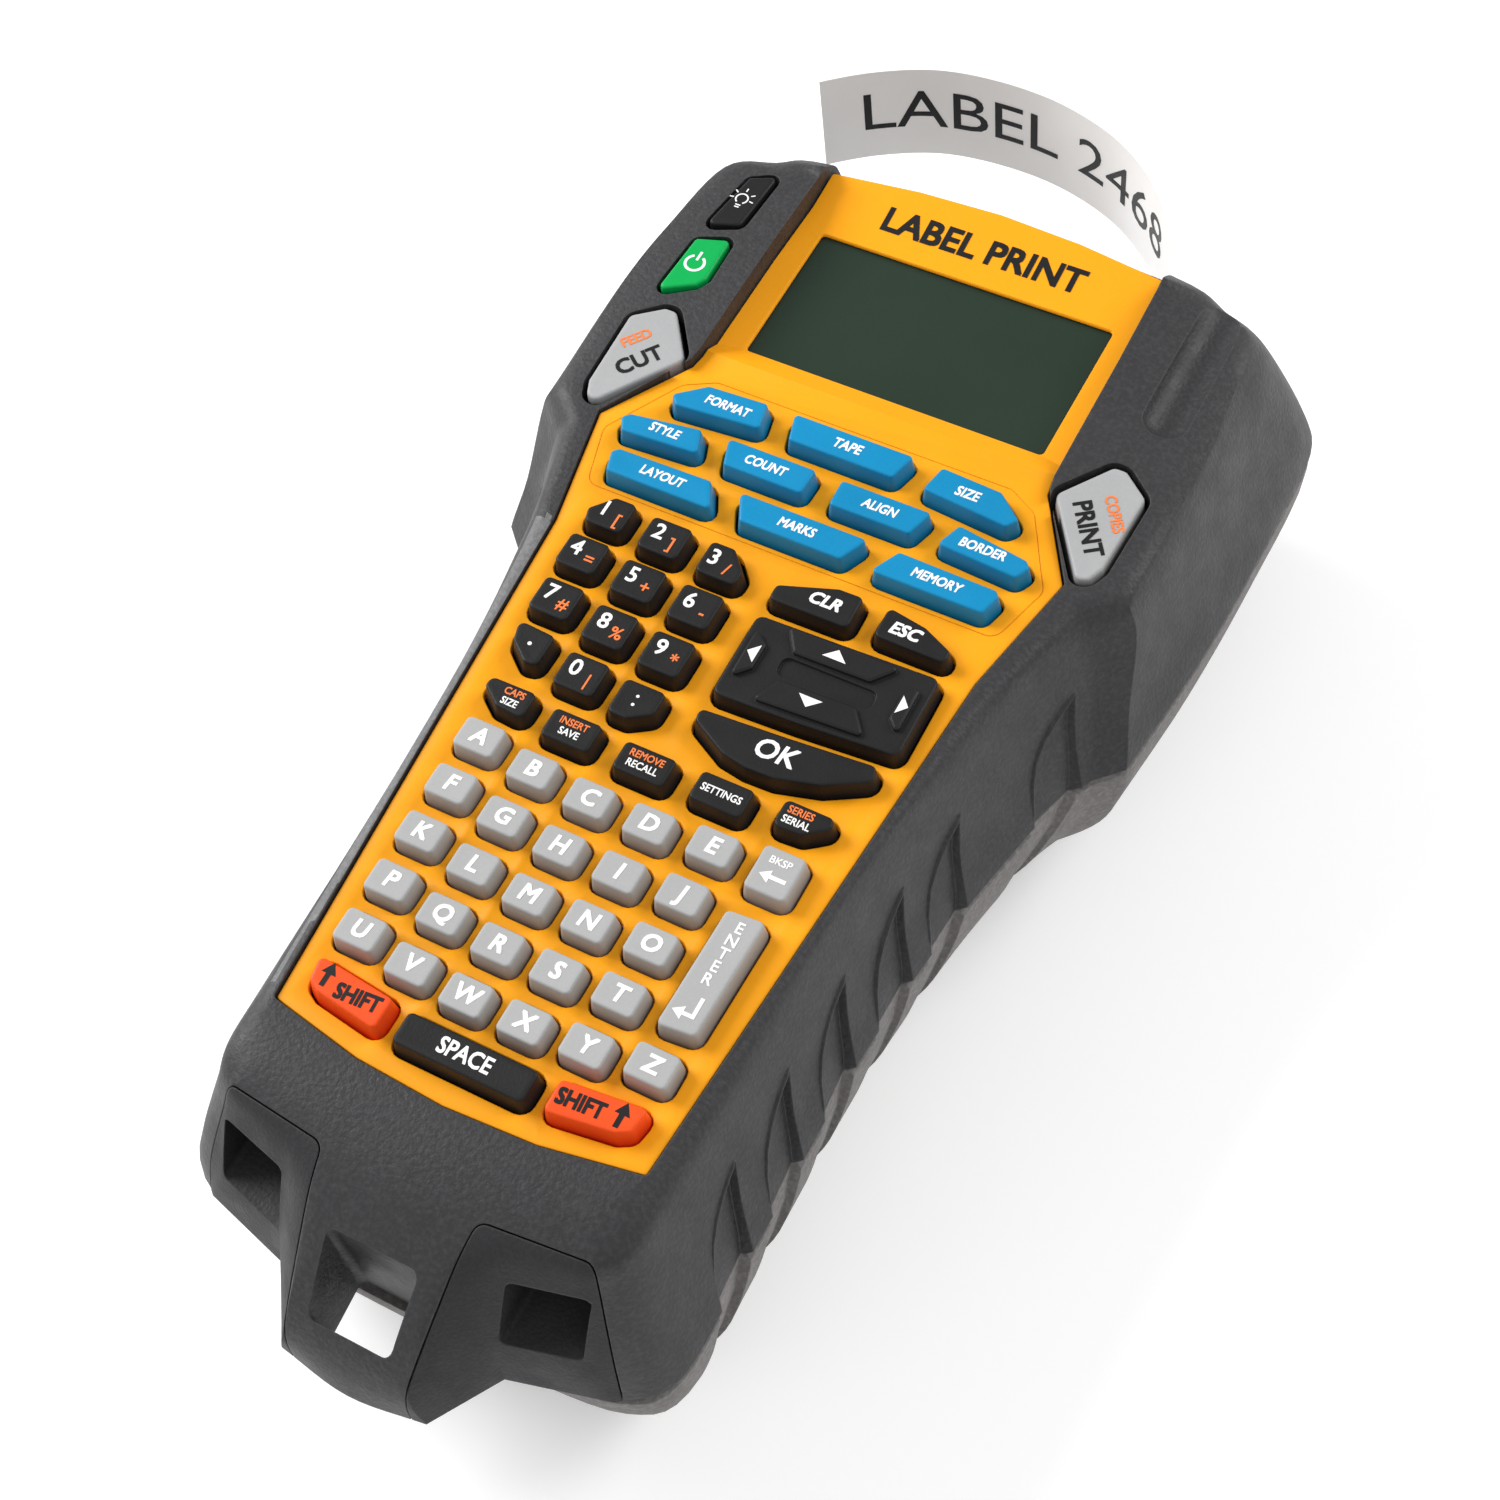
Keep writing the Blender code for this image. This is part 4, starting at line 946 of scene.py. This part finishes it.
def arrow(x, y, turn, head, length, width):
    """Arrow outline pointing +Y before it is turned."""
    w, h, tip = width / 2, head / 2, length / 2
    neck = tip - head * 0.8
    pts = [(-w, -tip), (w, -tip), (w, neck), (h, neck), (0, tip), (-h, neck), (-w, neck)]
    return turned(pts, x, y, turn)


def bar(x, y, turn, length, width):
    return turned(box_pts(-length / 2, length / 2, -width / 2, width / 2), x, y, turn)


def arc_band(cx, cy, r, w, a0, a1, n=20):
    """Closed outline of part of a ring, angles in degrees."""
    def edge(radius, start, end):
        angles = [radians(start + (end - start) * k / n) for k in range(n + 1)]
        return [(cx + radius * cos(a), cy + radius * sin(a)) for a in angles]
    return edge(r + w / 2, a0, a1) + edge(r - w / 2, a1, a0)


sticker("ink_back_arrow", [arrow(30.9, 39.8, 90, 2.6, 5.2, 0.8)], "white_ink", "key_backspace", TOP)
sticker("ink_shift_arrow_left", [arrow(-29.5, -9.7, 0, 2.9, 4.8, 1.0)], "black_ink",
        "key_shift_left", TOP)
sticker("ink_shift_arrow_right", [arrow(29.2, -10.0, 0, 2.9, 4.8, 1.0)], "black_ink",
        "key_shift_right", TOP)
sticker("ink_enter_arrow", [arrow(29.4, 10.6, 90, 2.6, 4.4, 0.75), box_pts(30.85, 31.6, 10.99, 14.4)],
        "white_ink", "key_enter", TOP)
NAV_MARKS = ([(17.8, 84.0), (22.6, 84.0), (20.2, 86.2)], [(20.2, 72.8), (22.6, 75.0), (17.8, 75.0)],
             [(4.9, 79.2), (6.9, 77.2), (6.9, 81.2)], [(37.0, 80.4), (35.2, 82.4), (35.2, 78.4)])
sticker("ink_nav", NAV_MARKS, "white_ink", "nav_pad", PAD_TOP + 0.01)

legend("ink_print", "PRINT", 48.9, 131.4, 5.0, "black_ink", "key_print", turn=-55, z=Z_SIDE,
       weight=0.14, squeeze=0.95)
legend("ink_copies", "COPIES", 52.1, 136.4, 3.2, "orange_ink", "key_print", turn=-55, z=Z_SIDE,
       squeeze=0.85, weight=0.07)
legend("ink_cut", "CUT", -48.4, 132.4, 5.2, "black_ink", "key_cut", turn=52, z=Z_SIDE,
       weight=0.14, squeeze=0.95)
legend("ink_feed", "FEED", -51.8, 137.2, 3.3, "orange_ink", "key_cut", turn=52, z=Z_SIDE,
       squeeze=0.9, weight=0.07)

LAMP_X = -49.8
rays = [bar(LAMP_X + 2.3 * cos(radians(a)), 178.6 + 2.3 * sin(radians(a)), a, 0.9, 0.28)
        for a in (-10, 35, 90, 145, 190)]
sticker("ink_power", [arc_band(-50.3, 159.0, 2.0, 0.6, 120, 420), bar(-50.3, 161.0, 90, 2.4, 0.55)],
        "white_ink", "key_power", Z_SMALL - 0.02)
sticker("ink_lamp", [arc_band(LAMP_X, 178.4, 1.3, 0.32, -60, 240), bar(LAMP_X, 176.6, 0, 1.2, 0.3),
                     bar(LAMP_X, 176.0, 0, 1.0, 0.3)] + rays, "white_ink", "key_light", Z_SMALL - 0.02)
legend("ink_title", "LABEL PRINT", 0.0, 188.6, 8.0, "black_ink", "body", z=70.31, squeeze=0.98,
       weight=0.22, tilt=8.2)

# ------------------------------------------------------------------ label tape
# The label's middle line from above: straight inside the head, then a curl to the left.
PATH = ((36.5, 150.0), (36.5, 176.0), (36.5, 199.0), (35.9, 204.0), (31.8, 212.5), (24.6, 222.3),
        (16.0, 230.0), (6.2, 235.3), (-6.8, 238.85), (-21.0, 239.4), (-34.0, 237.3),
        (-46.0, 231.6), (-56.2, 224.0))
BEFORE_PATH = (36.5, 140.0)
AFTER_PATH = (-66.0, 215.0)
TAPE_HALF = 0.17
TAPE_LEVELS = (38.9, 45.0, 51.0, 57.0, 64.1)


def tape_points():
    """The path refined to eight steps between two of its points."""
    guide = (BEFORE_PATH,) + PATH + (AFTER_PATH,)
    pts = [catmull(*guide[i:i + 4], k / 8) for i in range(len(PATH) - 1) for k in range(8)]
    return pts + [PATH[-1]]


LINE = tape_points()
ARC = [0.0]
for (ax, ay), (bx, by) in zip(LINE, LINE[1:]):
    ARC.append(ARC[-1] + hypot(bx - ax, by - ay))


def along(s):
    """Point and direction at arc length s of the tape."""
    i = max(k for k in range(len(ARC) - 1) if ARC[k] <= max(s, 0.0))
    run = ARC[i + 1] - ARC[i]
    f = (s - ARC[i]) / run
    (ax, ay), (bx, by) = LINE[i], LINE[i + 1]
    return ax + (bx - ax) * f, ay + (by - ay) * f, (bx - ax) / run, (by - ay) / run


right_edge = []
left_edge = []
for s in ARC:
    x, y, tx, ty = along(min(s, ARC[-1] - 1e-6))
    right_edge.append((x + ty * TAPE_HALF, y - tx * TAPE_HALF))
    left_edge.append((x - ty * TAPE_HALF, y + tx * TAPE_HALF))
ribbon = right_edge + list(reversed(left_edge))
tape = lofted("label_strip", [level(ribbon, z) for z in TAPE_LEVELS], angle=40)
finish(tape, "paper", "label_tape", ["label_tape"])

# The label's lettering is drawn flat, then bent round the outside of the curl.
text = legend("ink_tape", "LABEL 2468", 0, 0, 15.4, "black_ink", "label_tape", z=0, squeeze=1.12)
TEXT_START = ARC[-1] - 9.5
TEXT_HEIGHT = 51.9
bm = bmesh.new()
bm.from_mesh(text.data)
bmesh.ops.triangulate(bm, faces=bm.faces)
bmesh.ops.subdivide_edges(bm, edges=[e for e in bm.edges if e.calc_length() > 1.5 * UNIT], cuts=2)
left = min(v.co.x for v in bm.verts)
for v in bm.verts:
    u = (v.co.x - left) / UNIT
    h = v.co.y / UNIT + Y_MID
    x, y, tx, ty = along(TEXT_START - u)
    lift = TAPE_HALF + 0.02 + (0.03 if v.co.z > 0 else 0.0)
    v.co = at(x - ty * lift, y + tx * lift, TEXT_HEIGHT + h)
bmesh.ops.recalc_face_normals(bm, faces=bm.faces)
bm.to_mesh(text.data)
bm.free()

# ------------------------------------------------- carried-over internal nodes
INSIDE = {"lcd_module": "rubber", "keypad_board": "board", "main_board": "board",
          "tape_cassette": "cartridge", "battery_pack": "cell", "platen_roller": "rubber",
          "motor_pinion": "brass", "drive_motor": "motor", "print_head": "motor",
          "cutter_blade": "blade"}
for node, material in INSIDE.items():
    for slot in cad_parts[node].material_slots:
        slot.material = MAT[material]

# --------------------------------------------------------------- stage, camera
paint = Nodes("floor_paint")
paint_tone = paint.ramp(paint.noise(3.0), 0.3, 0.7, 0, 1)
paint.link(paint.mix(paint_tone, (0.93, 0.93, 0.93), (0.95, 0.95, 0.95)), paint.bsdf.inputs["Base Color"])
paint.bsdf.inputs["Roughness"].default_value = 0.9
paint.bsdf.inputs["Emission Color"].default_value = (1, 1, 1, 1)
paint.bsdf.inputs["Emission Strength"].default_value = 0.22
floor_mesh = bpy.data.meshes.new("floor")
floor_mesh.from_pydata([(x, y, 0) for x, y in box_pts(-4, 4, -4, 4)], [], [(0, 1, 2, 3)])
floor = bpy.data.objects.new("floor", floor_mesh)
floor_mesh.materials.append(paint.mat)
bpy.context.scene.collection.objects.link(floor)

cam_data = bpy.data.cameras.new("camera")
cam_data.lens = 60.0
cam_data.sensor_width = 36.0
cam_data.clip_start = 0.01
cam = bpy.data.objects.new("camera", cam_data)
bpy.context.scene.collection.objects.link(cam)
cam.location = at(154.27, -127.0, 455.21)
cam.rotation_euler = (radians(31.2832), radians(5.0923), radians(28.1893))
bpy.context.scene.camera = cam


def area_light(name, place, size, power):
    """Square lamp, in metres and watts, aimed at the middle of the object."""
    data = bpy.data.lights.new(name, "AREA")
    data.energy = power
    data.size = size
    ob = bpy.data.objects.new(name, data)
    bpy.context.scene.collection.objects.link(ob)
    ob.location = place
    ob.rotation_euler = (Vector((0, 0, 0.03)) - ob.location).to_track_quat("-Z", "Y").to_euler()


area_light("key_light_lamp", (-1.25, 0.1, 0.9), 0.8, 24.0)
area_light("fill_lamp", (0.9, -0.5, 1.1), 1.2, 3.0)
area_light("front_lamp", (-0.3, -1.2, 0.9), 1.0, 2.5)
area_light("rim_lamp", (0.75, 0.9, 0.8), 0.7, 10.0)
world = bpy.data.worlds.new("world")
world.use_nodes = True
sky = world.node_tree.nodes["Background"]
sky.inputs["Color"].default_value = (1, 1, 1, 1)
sky.inputs["Strength"].default_value = 0.42
bpy.context.scene.world = world
bpy.context.scene.view_settings.view_transform = "Standard"
